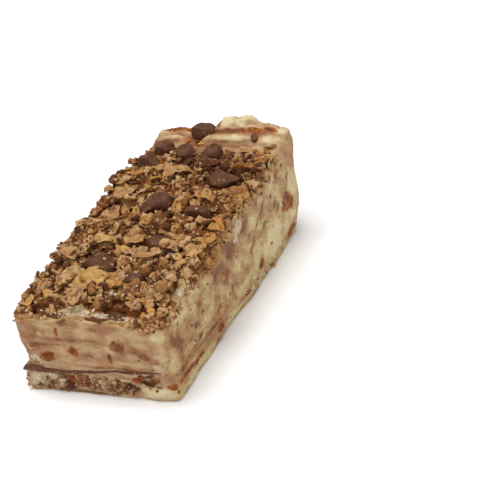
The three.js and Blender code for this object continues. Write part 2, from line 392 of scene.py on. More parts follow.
# Colours as they look on a screen. The marbling's run from pale to brown
BROWN = (114, 68, 34)
CREAM = (190, 164, 112)
TAN = (168, 132, 89)
ROSE = (147, 99, 54)
MARBLE_STOPS = (0.0, 0.26, 0.52, 0.8, 1.0)
SIDE_SHADES = ((206, 189, 146), CREAM, TAN, ROSE, BROWN)
END_SHADES = ((209, 193, 156), (192, 168, 126), (170, 135, 100), (148, 104, 70), BROWN)
MAUVE = (140, 104, 80)
WHITE_SHADES = ((0.35, (176, 150, 114)), (0.6, (208, 195, 168)))
TOFFEE_SHADES = ((0.25, (84, 37, 9)), (0.5, (134, 66, 17)), (0.75, (168, 104, 40)))
COCOA_SHADES = ((0.3, (74, 46, 27)), (0.65, (112, 76, 46)))
BASE_SHADES = (
    (0.05, (74, 39, 16)), (0.3, (104, 64, 35)), (0.52, (134, 96, 64)), (0.75, (158, 125, 94)),
    (1.0, (184, 158, 129)),
)
BED_SHADES = ((0.3, (98, 48, 14)), (0.48, (122, 71, 32)), (0.62, (146, 97, 54)), (0.8, (164, 122, 82)))
BED_RIM_SHADES = ((0.3, ROSE), (0.45, TAN), (0.65, CREAM))
BED_COCOA_SHADES = ((0.3, (80, 43, 24)), (0.7, (112, 69, 44)))
SEAM_SHADES = ((0.3, (74, 44, 29)), (0.55, (100, 63, 43)), (0.75, (128, 86, 60)))
PIECE_SHADES = ((0.3, (73, 42, 25)), (0.55, (89, 55, 36)), (0.75, (109, 73, 51)))
CRUMB_DUST = (140, 100, 66)
TOASTED = ((0.15, (104, 56, 20)), (0.4, (149, 102, 55)), (0.65, (165, 125, 78)), (0.95, (178, 143, 101)))
HONEYED = ((0.15, (108, 58, 16)), (0.4, (155, 103, 44)), (0.65, (173, 129, 67)), (0.95, (182, 145, 87)))
GOLDEN = ((0.0, (104, 58, 24)), (0.3, (147, 101, 56)), (0.65, (170, 130, 86)), (1.0, (186, 155, 116)))
EARTHY = ((0.0, (94, 50, 22)), (0.35, (141, 92, 55)), (0.7, (168, 126, 86)), (1.0, (190, 156, 115)))
DARK = ((0.0, (73, 40, 21)), (0.5, (91, 53, 33)), (1.0, (111, 70, 47)))
PALE = ((0.0, (168, 132, 98)), (0.5, (190, 162, 127)), (1.0, (208, 188, 158)))
AMBER = ((0.0, (146, 80, 32)), (0.5, (176, 110, 52)), (1.0, (200, 150, 84)))
WHITE = ((0.0, (174, 148, 112)), (0.5, (196, 179, 147)), (1.0, (212, 202, 178)))


def whitened(s, colour, ragged, low, high):
    """A colour with crumbly white places in it."""
    chalky = s.ramp(s.noise(0.6, 4), *WHITE_SHADES)
    return s.mix(s.scaled(s.patch("white", ragged, low, high), 0.9), colour, chalky)


def fudge_material():
    """Waxy marbled fudge: cream to rosy tan in drawn-out streaks, with crumbly, white, toffee and cocoa
    places. Its pits are painted dark, as shade in their hollows."""
    s = Shader("fudge", subsurface_weight=0.2, subsurface_radius=(1.0, 0.62, 0.36), subsurface_scale=0.8 * MM,
               specular_ior_level=0.14)
    broad = s.swing(s.edge(s.noise(4.0, 6, "sheet", (0.6, 0.5, 1.0)), 0.4, 0.6), 0.3)
    cloud = s.swing(s.noise(1.5, 5, "sheet", (0.7, 0.55, 1.0)), 0.5)
    dashes = s.edge(s.noise(1.1, 3, "sheet", (0.6, 0.8, 1.0)), 0.6, 0.72)
    thin = s.times(s.scaled(dashes, 0.3), s.stored("streaky"))
    grain = s.noise(0.55, 4)
    uneven = s.times(s.add(broad, cloud), s.stored("uneven"))
    tone = s.add(s.add(s.stored("tan"), uneven), s.add(thin, s.swing(grain, 0.24)))
    sides = s.ramp(tone, *zip(MARBLE_STOPS, SIDE_SHADES))
    ends = s.ramp(tone, *zip(MARBLE_STOPS, END_SHADES))
    colour = s.mix(s.stored("ends"), sides, ends)
    cloudy = s.edge(s.noise(2.8, 5, "sheet", (0.6, 0.6, 1.0)), 0.55, 0.68)
    colour = s.mix(s.times(s.scaled(cloudy, 0.4), s.stored("uneven")), colour, srgb(*MAUVE))
    ragged = s.swing(s.noise(0.9, 5), 1.0)
    # The base's tone is darker between its crumbs: painted shade in the gaps
    bits = s.add(s.stored("bits"), s.swing(s.noise(0.8, 5), 1.3))
    colour = s.mix(s.patch("crumb", ragged, 0.2, 0.5), colour, s.ramp(bits, *BASE_SHADES))
    core = s.add(s.scaled(s.stored("toffee"), -0.3, 0.75), s.swing(s.noise(1.5, 4), 1.2))
    toffee = s.scaled(s.patch("toffee", ragged, 0.3, 0.7), 0.97)
    colour = s.mix(toffee, colour, s.ramp(core, *TOFFEE_SHADES))
    # The cocoa mask also holds the pits, painted dark as shade in their hollows
    cocoa = s.scaled(s.patch("cocoa", ragged, 0.3, 0.8), 0.8)
    colour = s.mix(cocoa, colour, s.ramp(s.noise(0.7, 3), *COCOA_SHADES))
    s.colour(whitened(s, colour, ragged, 0.35, 0.95))
    s.roughness(s.scaled(s.noise(1.6, 4), 0.4, 0.24))
    s.bump(s.add(grain, s.scaled(s.noise(1.2, 3, "sheet", (0.6, 0.5, 1.0)), 0.9)), 0.26, 0.7)
    return s


def chocolate_material(name, dust_from, shades):
    """Milk chocolate: smooth and faintly waxy, with bloom, scuffs and crumb dust."""
    s = Shader(name, specular_ior_level=0.14)
    cloud = s.noise(2.6, 4)
    dust = s.edge(s.noise(0.8, 5), dust_from, 0.76)
    s.colour(s.mix(s.scaled(dust, 0.4), s.ramp(cloud, *shades), srgb(*CRUMB_DUST)))
    s.roughness(s.scaled(s.noise(0.9, 4), 0.4, 0.34))
    s.bump(s.add(s.noise(0.5, 4), s.scaled(cloud, 1.5)), 0.14, 0.5)
    return s


def bed_material():
    """The bed under the loose pieces: fine brown crumb, smeared with chocolate, and bare fudge at its rim."""
    s = Shader("crumb_bed", specular_ior_level=0.1)
    grain = s.noise(0.7, 5)
    tone = s.add(s.scaled(grain, 0.8, 0.1), s.swing(s.noise(4, 3), 0.5))
    ragged = s.swing(s.noise(0.9, 5), 1.1)
    rim = s.ramp(s.noise(2.2, 4), *BED_RIM_SHADES)
    colour = s.mix(s.patch("bare", ragged, 0.25, 0.75), s.ramp(tone, *BED_SHADES), rim)
    colour = s.mix(s.patch("cocoa", ragged, 0.25, 0.75), colour, s.ramp(grain, *BED_COCOA_SHADES))
    s.colour(whitened(s, colour, ragged, 0.3, 1.0))
    s.roughness(s.scaled(grain, 0.3, 0.55))
    s.bump(s.add(grain, s.noise(0.3, 3)), 0.3, 0.7)
    return s


def grain_material(name, shades, roughness, glow):
    """Loose grains: each has its own tint, with mottling of its own on it."""
    s = Shader(name, subsurface_weight=glow, subsurface_radius=(1.0, 0.55, 0.25), subsurface_scale=0.6 * MM,
               specular_ior_level=0.12)
    mottle = s.noise(0.8, 4)
    s.colour(s.ramp(s.add(s.stored("tint"), s.swing(mottle, 0.45)), *shades))
    s.roughness(s.scaled(mottle, 0.3, roughness - 0.15))
    s.bump(s.add(mottle, s.scaled(s.noise(0.24, 3), 0.5)), 0.12, 0.5)
    return s


def flake_material():
    """Toasted flakes: golden and a little translucent, painted paler on their blisters as a highlight,
    each toasted or honeyed.
    """
    s = Shader("toasted_flake", subsurface_weight=0.1, subsurface_radius=(1.0, 0.6, 0.25),
               subsurface_scale=0.6 * MM, specular_ior_level=0.25)
    mottle = s.noise(2.0, 4)
    speck = s.noise(0.5, 4)
    patches = s.add(s.scaled(mottle, 0.5, -0.2), s.swing(speck, 0.3))
    tone = s.add(s.scaled(s.stored("tint"), 0.5), patches)
    # Painted highlight: the blisters are made paler, as where they catch the light
    tone = s.add(tone, s.scaled(s.stored("raised"), 0.45))
    own = s.maths("FRACT", s.scaled(s.stored("tint"), 7.3), 0.0)
    honeyed = s.edge(s.add(own, s.swing(mottle, 0.8)), 0.4, 0.8)
    s.colour(s.mix(honeyed, s.ramp(tone, *TOASTED), s.ramp(tone, *HONEYED)))
    s.roughness(s.scaled(speck, 0.3, 0.42))
    s.bump(s.add(mottle, s.scaled(speck, 0.6)), 0.16, 0.5)
    return s


# Places of what shows in the fudge: x, y, z, then reach across, along the sheets and through them

FUDGE_TOFFEE = [
    (-5.5, -52.2, 14.3, 2, 2.5, 1.8), (-14.2, -52, 11.8, 2.7, 2.5, 1.8), (5.2, -52, 13, 0.8, 3, 2),
    (-9.4, -52.2, 20.4, 0.6, 2, 1.6), (23, 39.4, 14.6, 2, 4.4, 3.8), (22.8, 42.4, 13, 1.8, 3.2, 2.4),
    (22.2, 11.2, 13.8, 1.5, 2.8, 1.1), (22.7, 15.6, 19, 1.2, 1.8, 0.8), (22.7, -18.1, 9.9, 1.4, 2.6, 0.8),
    (22.6, -35.1, 19.4, 1, 0.7, 0.6), (22.5, 20.6, 21.4, 1.6, 3.4, 0.7), (22.4, -10, 15.3, 1.5, 3.4, 0.6),
    (22.4, -17.5, 19.9, 1.5, 3.2, 0.6), (22.6, -31.2, 8.9, 1.5, 2, 0.8), (22.4, 30.5, 26.4, 1.5, 1.8, 0.8),
    (12.6, 47.4, 35, 3.6, 1.4, 1.3), (17, 48.8, 34.8, 3.2, 1.3, 1.2), (8.6, 46.8, 34.9, 1.8, 0.6, 0.6),
    (-15.8, 50.6, 32.9, 6.4, 1.5, 1.6), (12.8, 44.7, 33.2, 1, 0.9, 0.9),
]
# The thin dark line at 17.6, -52, 9.9, under the torn chunks at the near right corner, is painted shade
FUDGE_COCOA = [
    (13.6, -52, 12.9, 0.7, 2.5, 0.6), (-12.9, -52, 12.9, 1.3, 2.5, 0.35), (7.6, -52.2, 18.4, 0.8, 2, 0.6),
    (-5.2, -52.2, 14.8, 0.9, 2, 0.5), (-20.6, -51.5, 13.2, 1, 2, 0.6), (17.6, -52, 9.9, 2.6, 2, 0.4),
    (22.9, 30, 18.2, 1.5, 2, 1.5), (22.9, 32.6, 16.3, 1.5, 2.7, 1.2), (22.7, 21, 15.8, 1.5, 2.7, 1.4),
    (22.7, 43.2, 21.5, 1.5, 2.4, 1.7), (22.7, 40, 26.8, 1.5, 1.6, 1.2), (22.8, -34, 13.8, 1.4, 1.4, 1.8),
    (22.8, -42.2, 22.7, 1.2, 0.8, 1), (22.8, -29, 15.4, 1.4, 1.9, 0.9), (22.7, 17.4, 25, 1.5, 2.2, 1.4),
    (22.6, 25.5, 28.4, 1.5, 2.2, 1.4), (22.8, 1.5, 12.4, 1.4, 0.8, 0.8), (-7.2, -52.4, 23.8, 2.6, 2, 0.8),
    (4.4, -52.4, 24.2, 2.4, 2, 0.9), (-8.6, 48.4, 33, 3.2, 1.2, 1.4), (13, 44.6, 32.8, 1.3, 1.2, 1.2),
]
FUDGE_WHITE = [
    (-3.4, -52.2, 24.6, 2, 1.2, 0.8), (22.4, -36.5, 25.6, 2, 3.4, 1.3), (22.7, 2.2, 25.2, 2, 4, 3.6),
    (22.6, -1, 23, 1.8, 2.6, 2.4), (-18.6, -51.6, 10.6, 2.6, 2.5, 1.6), (22.6, -35, 26, 2, 3, 1.2),
    (22.3, 12.2, 6.6, 1.5, 2.6, 0.7),
]
# Cream places. Those on the ridges of the bare far strip are partly the fudge's cream and partly a painted
# highlight where the ridges catch the light
FUDGE_CREAM_AND_RIDGE_HIGHLIGHTS = [
    (22.7, -39.5, 22, 2, 4, 4.4), (22.7, -33.5, 19.5, 2, 3, 3.4), (22.6, -28, 21, 2, 2.6, 2.6),
    (3.5, 44.6, 33.2, 10.5, 1.5, 1.5), (18.6, 44.2, 32.4, 4.4, 2.8, 1.8), (-16, 46.2, 31.9, 6.5, 1.5, 1.2),
    (3.6, 40.5, 30.5, 4.4, 2.2, 1.4), (1.6, 50.6, 36.8, 3.6, 2, 1.6), (21, 50, 33.6, 2.5, 2, 2),
    (22.4, 31, 25, 2, 5.2, 2.5), (22.4, 27.5, 9, 2, 10.5, 7.5), (23, 46, 17, 2, 6, 6.2),
    (22.4, 13.4, 9.6, 2, 5.2, 4.2), (22.4, -1.4, 14.6, 2, 4.5, 4), (22.6, -24, 12.6, 2, 6, 3.2),
    (22.6, -44, 24.4, 2, 6, 3.5), (22.6, -33, 23.6, 2, 4.5, 2.5), (22.6, 3, 6.4, 2, 12, 2),
    (22.8, -36, 2, 2, 20, 2), (22.6, -5, 1.8, 2, 18, 1.6), (22.6, -49, 11, 2, 2.2, 3),
    (19.6, -52, 20.6, 3.6, 4, 4), (18, -51.6, 2.4, 6, 4, 2.2), (-1, -52.3, 20.4, 5.4, 3, 1.6),
    (14, -52.2, 20.6, 6, 3, 2.2), (6, -51.6, 8.2, 13, 3, 0.9), (-14, -52.2, 22, 5, 3, 1.2),
    (9, -52, 11.6, 5, 3, 1), (20.6, -52.2, 18.4, 3, 3, 3.4), (15.4, -52.2, 18.4, 4, 3, 1.6),
    (20.8, -52, 14.4, 1.8, 3, 2.6),
]
FUDGE_ROSE = [
    (22.3, -12, 19, 2, 3.6, 3.6), (22.2, -10.6, 17.2, 1.8, 2.4, 2.2), (22.5, 20.5, 21.2, 2, 3.5, 2.4),
    (22.6, 9, 18.7, 2, 2.8, 2.2), (22.5, -5.6, 22.6, 2, 5.2, 4.1), (22.5, 18.2, 28.2, 2, 6.3, 3.2),
    (22.8, 6.1, 23.6, 2, 3.5, 2.7), (22.5, 34.8, 25.6, 2, 3.8, 1.4), (22.7, -46, 16.4, 2, 3.8, 5.1),
    (22.3, -31.2, 8.9, 2, 2.2, 1.9), (22.6, -28.7, 19, 2, 4.2, 2.4), (22.4, -16, 19.6, 2, 5.2, 3.8),
    (22.4, -10, 15.6, 2, 4.2, 3), (22.9, -7.8, 10.4, 2, 3.1, 1.1), (22.3, 38.6, 1.9, 2, 5.4, 1.4),
    (22.4, -40, 7.2, 2, 9, 1.6), (22.6, -24, 6.4, 2, 9, 0.9), (4.4, 46.9, 34.8, 8.5, 1, 0.9),
    (-16.4, 48.6, 32.2, 6.4, 0.9, 1), (15.6, 47.4, 34.6, 5, 1.4, 1.2), (10.4, 49.4, 36.3, 3, 1, 1),
    (-0.4, 48.8, 36, 1.2, 1.6, 1.6), (10.5, -52, 15.6, 4, 2.5, 1.6), (-6, -52.2, 17.9, 14, 3, 0.6),
    (-13, -52.2, 15.8, 9, 3, 0.5), (1.6, -52.3, 21.9, 3.4, 3, 0.7), (-1.6, -52, 13.2, 2.2, 3, 1.3),
    (-1.8, -52, 13.2, 1.3, 3, 0.8), (8.3, -52.2, 17.1, 1.5, 3, 1.4), (-7, -52.3, 22.8, 2, 3, 1),
    (-9.6, -52.2, 20, 0.7, 3, 2.4), (3, -51.8, 9.6, 17, 3, 0.6), (18.6, -52.2, 22.4, 3.4, 2, 1.4),
    (-17.6, -52, 15.2, 3.4, 3, 1.2), (16, -51.8, 14.2, 3, 3, 1.4),
]
# Pale places. Those on the ridges of the bare far strip are partly pale fudge and partly a painted highlight
# where the ridges catch the light
FUDGE_PALE_AND_RIDGE_HIGHLIGHTS = [
    (3.2, 44.4, 33.2, 9.6, 2, 1.9), (3.2, 50.8, 37, 2.6, 2, 1.6), (18.4, 45, 32.8, 3.6, 2.2, 1.6),
    (8, 51.6, 37.2, 3, 1.2, 1.4), (2.4, 49.2, 36.4, 2.6, 1.6, 1.4), (7, 49.2, 36.6, 2.4, 1.4, 1.2),
    (4.6, 50, 37, 4, 1.4, 1.4), (19.6, 49.4, 34, 2.4, 2, 1.4), (-16.2, 46, 31.9, 4.4, 1.1, 1.4),
    (22.4, 25, 8, 1.6, 9, 4.6), (22.4, 34, 6.4, 1.6, 7, 3.4), (23, 44, 7.8, 1.6, 3.4, 3),
    (20, -52.2, 11.5, 1.8, 2, 1.3), (20.6, -52.2, 20.8, 2.6, 2, 2.6), (17.6, -51.8, 2.6, 6, 3, 2.6),
    (22.6, -39, 25, 1.8, 4, 1.6),
]
# Cut nuts: x, y, z and radius
NUTS = [(8.3, -52.2, 17.1, 1.9), (-15.2, 50.5, 18, 2.2), (-22.6, -8, 15, 2)]

# Places of what shows in the base, given in the same way as in the fudge
BASE_CRUMBLY = [
    (-12, -51.6, 3.4, 13, 9, 4), (2, -51.4, 3.8, 12, 8, 3.2), (-22.5, -20, 3, 4, 34, 4),
    (15, -51.4, 6, 5, 6, 2.4), (4, 48, 3, 17, 8, 4), (-22.5, 28, 3, 4, 10, 3),
]
BASE_COCOA = [
    (-14.8, -51.5, 3, 2.4, 3, 0.9), (-8.3, -51.5, 5.3, 0.8, 3, 0.6), (-13, -51.2, 0.9, 8, 3, 0.8),
    (-3, -51, 0.5, 7, 3, 0.7), (16.2, -51.3, 8.4, 1.3, 2, 0.9), (15.6, -51.2, 6.2, 2.6, 2, 0.7),
    (18.6, -51, 4.8, 2, 2, 0.4), (-5.6, -51.2, 2.2, 1, 3, 0.7), (9.6, -51.3, 4.6, 1.6, 3, 0.7),
    (2.6, -51.3, 2.6, 1.4, 3, 0.5), (-18.6, -51.4, 1.6, 2.2, 3, 0.7), (22.2, -31.5, 6.2, 1.4, 5.4, 0.5),
    (22.6, -2.7, 3, 1.4, 4, 0.4),
]
BASE_TOFFEE = [
    (21.8, -51, 5, 1.7, 1.8, 1.3), (22.5, -43, 4.8, 1.5, 6, 1), (22.5, -36.4, 3.9, 1.5, 3.6, 0.9),
    (22.3, 42.5, 3, 2, 4.4, 2.2), (22.4, 15.7, 5.4, 1.5, 3, 1.6), (22.5, -18.7, 4, 1.5, 2.4, 1.4),
    (22.4, -32.6, 3.7, 1.5, 1.9, 0.8), (-5, -51.2, 3.2, 1.9, 3, 1.2), (-8, -51.5, 5, 2, 3, 1.2),
    (11.8, -51.6, 6.6, 1.9, 2, 1.2), (17.6, -51.2, 6.6, 1.6, 2, 0.7), (22.5, 2, 3.4, 1.4, 2.4, 0.7),
    (-22.5, 20, 4, 2, 5, 1),
]
BASE_WHITE = [
    (-19, -51.6, 4.4, 3.6, 3, 2), (-11.4, -51.5, 4.2, 2, 3, 0.8), (-14.6, -51.6, 5.4, 3.4, 3, 0.9),
    (-20.2, -51.4, 2.4, 1.8, 3, 1), (22.6, 8.6, 5, 1.6, 2.6, 1), (22.8, 5.4, 3, 1.6, 2.8, 1),
    (-22.4, -40, 3.5, 1.6, 5, 1), (8, -51.6, 5.8, 3, 2, 0.7),
]

# Bits that stand out of the near face
FRONT_BUMPS = [
    (-14, -52.2, 19.2, 1.1, 2, 1), (-18.4, -52, 15.4, 0.9, 2, 0.7), (-16.4, -52, 15.8, 0.7, 2, 0.6),
    (2.4, -52.2, 20, 0.6, 2, 0.5), (20.4, -52.2, 11.6, 2.2, 2, 1.3), (19.4, -52.2, 10.6, 1.4, 2, 0.8),
    (-14.2, -52, 11.8, 2.6, 2, 1.2),
]

# Relief of the bare strip at the far end
BARE_RIDGES = [
    (3.2, 44.7, 33.2, 10, 1.7, 2), (17.6, 44.6, 32.6, 4.4, 2, 2), (-15.6, 50.4, 32.5, 7, 1.9, 2),
    (2.8, 50.6, 36.6, 2.8, 3, 2.4), (9, 50.8, 37, 3.4, 2.2, 2), (6.2, 50.6, 37, 3.2, 2.2, 2),
    (-16, 46, 31.9, 5, 1.6, 2),
]
BARE_HOLLOWS = [
    (4, 46.9, 34.6, 10, 0.9, 2), (5.8, 42, 31, 8, 1.1, 2), (-2.6, 50.4, 35, 1.6, 3, 3),
    (13.4, 50.6, 36, 1.8, 2.4, 2), (-16, 48.4, 32.2, 6, 0.8, 2), (-16, 43.6, 31.7, 6, 1, 2),
    (12.9, 46, 33.8, 1.6, 1.2, 2),
]


def all_round(spots, shift):
    """The spots of the near and right faces, with the same sort on the faces opposite: turned half round
    and shifted."""
    turned = []
    for k, (x, y, z, *reach) in enumerate(spots):
        if z < 30:
            along = 6 * math.sin(1.7 * k + shift) if abs(x) > 20 else 0
            turned.append((-x, -y + along, max(8, z + 3 * math.sin(2.3 * k + shift)), *reach))
    return spots + turned


def pits(p, size, share, seed):
    """Small open holes, drawn out along the marbling."""
    distance, value = cells(sheets(p, MARBLE_TILT) / (size * np.array([1.0, 1.4, 0.8])), seed)
    return (1 - smoothstep(distance, 0.12, 0.3)) * (value < share)


def scattered_bits(p):
    """Small bits all over the fudge, and a value for each that tells what it is."""
    q = sheets(p, MARBLE_TILT) / np.array([3.0, 3.6, 2.6])
    distance, kind = cells(q, 61)
    return 1 - smoothstep(distance + 0.12 * noise(p / 0.9, 62), 0.12, 0.3), kind


def nut_faces(p):
    """Cut nuts in the fudge: the nut's own face, and the dark line round it."""
    face = np.zeros(len(p))
    line = np.zeros(len(p))
    for x, y, z, radius in NUTS:
        d = np.linalg.norm(p - np.array([x, y, z]), axis=1) / radius
        d += 0.3 * noise(p / 1.6, 51)
        face = np.maximum(face, 1 - smoothstep(d, 0.7, 1.0))
        line = np.maximum(line, np.exp(-((d - 1.0) / 0.16) ** 2) * smoothstep(noise(p / 1.9, 52), -0.5, 0.3))
    return face, line


def block_parts(p, n):
    """The share of each point that belongs to the upright faces, the ends and other parts of the block."""
    x, y, z = p.T
    across = np.abs(n[:, 0])
    part = SimpleNamespace()
    part.upright = 1 - smoothstep(n[:, 2], 0.45, 0.8)
    part.ends = smoothstep(np.abs(n[:, 1]) + 0.3 * fractal(p / 3.5, 29, 2), 0.3, 0.95)
    part.under = 1 - smoothstep(z - seam_height(x, y), -0.6, 0.3)
    part.far_low = smoothstep(y, -10, 25) * (1 - smoothstep(z, 18, 27))
    part.foot = smoothstep(across, 0.3, 0.8) * (1 - smoothstep(z, 2, 5))
    part.strip = (1 - smoothstep(across, 0.5, 0.9)) * smoothstep(y, 36, 40) * smoothstep(z, 28, 30)
    part.far_edge = smoothstep(y, 47, 49)
    part.near_rim = smoothstep(-y, 48.5, 50) * smoothstep(z, 20.5, 22.5) * smoothstep(n[:, 2], 0.15, 0.5)
    return part


def block_spots(p, part):
    """Masks of what shows in the fudge: crumbs, smears, bits, holes and cut nuts."""
    spot = SimpleNamespace()
    spot.crumbly = part.under * blots(p, BASE_CRUMBLY, 0.5, 210, 0.4)
    white = blots(p, all_round(FUDGE_WHITE, 1.0) + BASE_WHITE, 0.4, 40, 0.4)
    toffee = blots(p, all_round(FUDGE_TOFFEE, 2.0) + BASE_TOFFEE, 0.36, 70, 0.6)
    cocoa = blots(p, all_round(FUDGE_COCOA, 3.0) + BASE_COCOA, 0.45, 100, 0.25)
    # The cream and pale places include painted highlights on the far strip's ridges
    spot.cream = blots(p, all_round(FUDGE_CREAM_AND_RIDGE_HIGHLIGHTS, 4.0), 0.5, 130, 0.2)
    spot.rose = blots(p, all_round(FUDGE_ROSE, 5.0), 0.5, 160, 0.2)
    spot.pale = blots(p, FUDGE_PALE_AND_RIDGE_HIGHLIGHTS, 0.4, 190, 0.4)
    # Pits: sunk in the relief, and painted dark in the colour as shade in their hollows
    spot.hole = pits(p, 2.3, 0.28, 9) * part.upright * (1 - 0.7 * part.ends)
    spot.nut, spot.shell = nut_faces(p)
    bit, kind = scattered_bits(p)
    bit *= part.upright * (1 - 0.8 * part.ends)
    spot.toffee = np.maximum(toffee, bit * (kind < 0.1))
    spot.cocoa = np.maximum(cocoa, bit * (kind > 0.88))
    spot.white = np.maximum(white, 0.9 * bit * (kind > 0.5) * (kind < 0.58))
    return spot


def block_tone(p, q, part, spot):
    """How tan the fudge is, from 0 for pale cream to 1 for brown."""
    ends, cream = part.ends, spot.cream
    fold = fractal(p / 9, 3, 3)
    marble = fractal(np.stack([q[:, 0] / 14, q[:, 1] / 8, q[:, 2] / 4 + 0.9 * fold], 1), 5, 4)
    vein = 1 - np.abs(fractal(np.stack([q[:, 0] / 12, q[:, 1] / 9, q[:, 2] / 4 + fold], 1), 8, 3))
    tone = 0.52 + 0.1 * ends - 0.1 * part.far_low * (1 - ends)
    # Cream and pale places lighten the tone, partly as painted highlights on the far ridges
    tone = tone - (0.34 - 0.08 * ends) * cream + (0.42 - 0.1 * ends) * spot.rose
    tone = tone - 0.1 * part.under * (1 - spot.crumbly)
    tone = tone + marble * (0.32 - 0.06 * ends) * (1 - 0.5 * cream)
    tone = tone + 0.1 * smoothstep(vein, 0.93, 1) * part.upright * (1 - 0.6 * ends)
    far_strip = part.strip * (0.2 - 0.28 * part.far_edge)
    return tone + (0.4 * spot.nut + 0.85 * spot.shell + far_strip - 0.28 * spot.pale)


def block_relief(p, q, part, spot, from_crumb):
    """How far each point stands out, from its distance to the nearest crumb and what it belongs to."""
    rough = fractal(p / 0.9, 14, 3)
    drag = noise(np.stack([q[:, 0] / 5, q[:, 1] / 4, q[:, 2] / 1.3], 1), 12)
    lift = 0.2 * fractal(p / 7, 15, 3) + 0.1 * fractal(p / 2.6, 16, 2) + 0.05 * drag + 0.08 * rough - 0.18
    lift += (spot.white * (0.1 + 0.4 * rough) - 0.45 * spot.hole
             - 0.22 * spot.cocoa * part.upright + 0.16 * spot.toffee * rough)
    lift += spot.crumbly * (0.9 * (0.4 - from_crumb) + 0.4 * rough)
    lift += part.foot * (0.5 * fractal(p / 4.5, 30, 3) + 0.25 * rough)
    ridges = 0.85 * blots(p, BARE_RIDGES, 0.3, 400, 0.4) - 0.45 * blots(p, BARE_HOLLOWS, 0.3, 420, 0.4)
    lift += part.strip * (ridges + 0.1 * rough)
    on_strip = part.strip > 0
    chunks = np.zeros(len(p))
    chunks[on_strip] = 0.5 - cells(p[on_strip] / 3.8, 26)[0]
    lift += part.strip * part.far_edge * (0.5 * chunks + 0.4 * rough)
    lift += part.near_rim * (0.45 + 0.4 * fractal(p / 2.4, 27, 2))
    lift += 0.35 * spot.nut - 0.3 * spot.shell + 0.6 * blots(p, FRONT_BUMPS, 0.3, 440, 0.2)
    return lift * smoothstep(p[:, 2], -0.2, 0.8)


def build_block():
    """The fudge and its base as one mass, cut and smeared by the knife, crumbly under the seam."""
    obj = fine_copy("fudge_block", ["fudge", "base_layer", "chocolate_seam"], BLOCK_VOXEL, 4, LAYER_GROWTH)
    p = points_of(obj)
    n = normals_of(obj)
    q = sheets(p, MARBLE_TILT)
    part = block_parts(p, n)
    spot = block_spots(p, part)
    warp = np.stack([noise(p / 2, seed) for seed in (71, 72, 73)], 1)
    from_crumb, crumb = cells(p / 1.8 + 0.25 * warp, 21)
    # Tone of the crumbly base: its own for each crumb, lighter on the left, and darker between the crumbs as
    # painted shade in the gaps
    crumb_tone_and_gap_shade = 0.42 - 0.4 * smoothstep(from_crumb, 0.4, 0.7) + 0.42 * smoothstep(-p[:, 0], 8, 16)
    crumb_tone_and_gap_shade = crumb_tone_and_gap_shade + 0.6 * (crumb - 0.5) + 0.5 * fractal(p / 4.5, 28, 2)
    moved = p + n * block_relief(p, q, part, spot, from_crumb)[:, None]
    moved[:, 2] = np.maximum(moved[:, 2], 0)
    move_points(obj, moved)
    give(obj, sheet=q, ends=np.maximum(part.ends, part.strip), tan=block_tone(p, q, part, spot),
         white=spot.white, toffee=spot.toffee,
         # The pits go in with the cocoa: painted shade in their hollows
         cocoa=np.maximum(spot.cocoa, np.maximum(0.7 * spot.hole, 0.95 * spot.shell)),
         crumb=spot.crumbly * np.clip(0.95 + 1.2 * fractal(p / 3.6, 24, 3), 0, 1), bits=crumb_tone_and_gap_shade,
         uneven=(1 - 0.15 * part.ends * (1 - part.under)) * (1 - 0.5 * spot.cream),
         streaky=part.upright * (1 - 0.75 * part.ends))
    fudge_material().paint(obj)
    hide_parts("fudge", "base_layer")
    return ride(obj)


# Where crumb dust starts to show on the chocolate of the seam and of the pieces, on the scale of its noise
SEAM_DUST = 0.54
PIECE_DUST = 0.572


def build_seam():
    """The chocolate seam. It stands out a little at the near end and on the left, and is lost in the fudge
    on the right."""
    obj = fine_copy("seam_layer", ["chocolate_seam"], SEAM_VOXEL, 2)
    p = points_of(obj)
    n = normals_of(obj)
    outward = n * np.array([1, 1, 0.2])
    lift = 0.3 + 0.3 * fractal(p / 2.6, 31, 4) + 0.12 * fractal(p / 0.8, 32, 2)
    lift += 0.3 * smoothstep(-p[:, 1], 47, 50)
    moved = p + outward * lift[:, None]
    moved[:, 0] -= 1.4 * smoothstep(p[:, 0], 12, 22)
    moved[:, 0] += 0.9 * smoothstep(p[:, 1], -40, -15) * (p[:, 0] < 0)
    moved[:, 1] += 0.45 * smoothstep(p[:, 0], 13, 21) * (p[:, 1] < -45)
    move_points(obj, moved)
    chocolate_material("seam_chocolate", SEAM_DUST, SEAM_SHADES).paint(obj)
    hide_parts("chocolate_seam")
    return ride(obj)


# Places in the crumb bed: chocolate smears, bare fudge at its rim, and white crumbs
BED_COCOA = [
    (7.5, 24.3, 31, 5, 5, 4), (13.6, 22.5, 30, 5, 4, 4), (-0.7, 28.5, 31, 5, 3, 4),
    (-12.5, -23.5, 28, 4, 5, 4), (-9.8, -31, 27, 4.5, 3, 4), (-16.7, 0.6, 30, 4, 3, 4),
    (21.5, 15.6, 30, 3, 4, 4), (4.5, -11.1, 29, 3, 2, 4), (13.1, -44, 27, 3, 2.4, 4),
    (-16.3, -33.6, 28, 3, 3, 4), (0.7, -42.6, 27, 4, 1.6, 4), (20.4, 31, 32, 3, 3, 4),
    (-20, 14, 30, 3, 5, 4), (11.9, 34, 31, 5, 2, 4), (14, -30, 28, 4, 2, 4), (-20.5, -18, 28, 2, 6, 4),
    (-9.5, -51.8, 25.4, 4.6, 2, 0.8), (4.5, -51.8, 25.2, 4.5, 2, 0.9), (-17, -51.6, 25.6, 4, 2, 1.2),
]
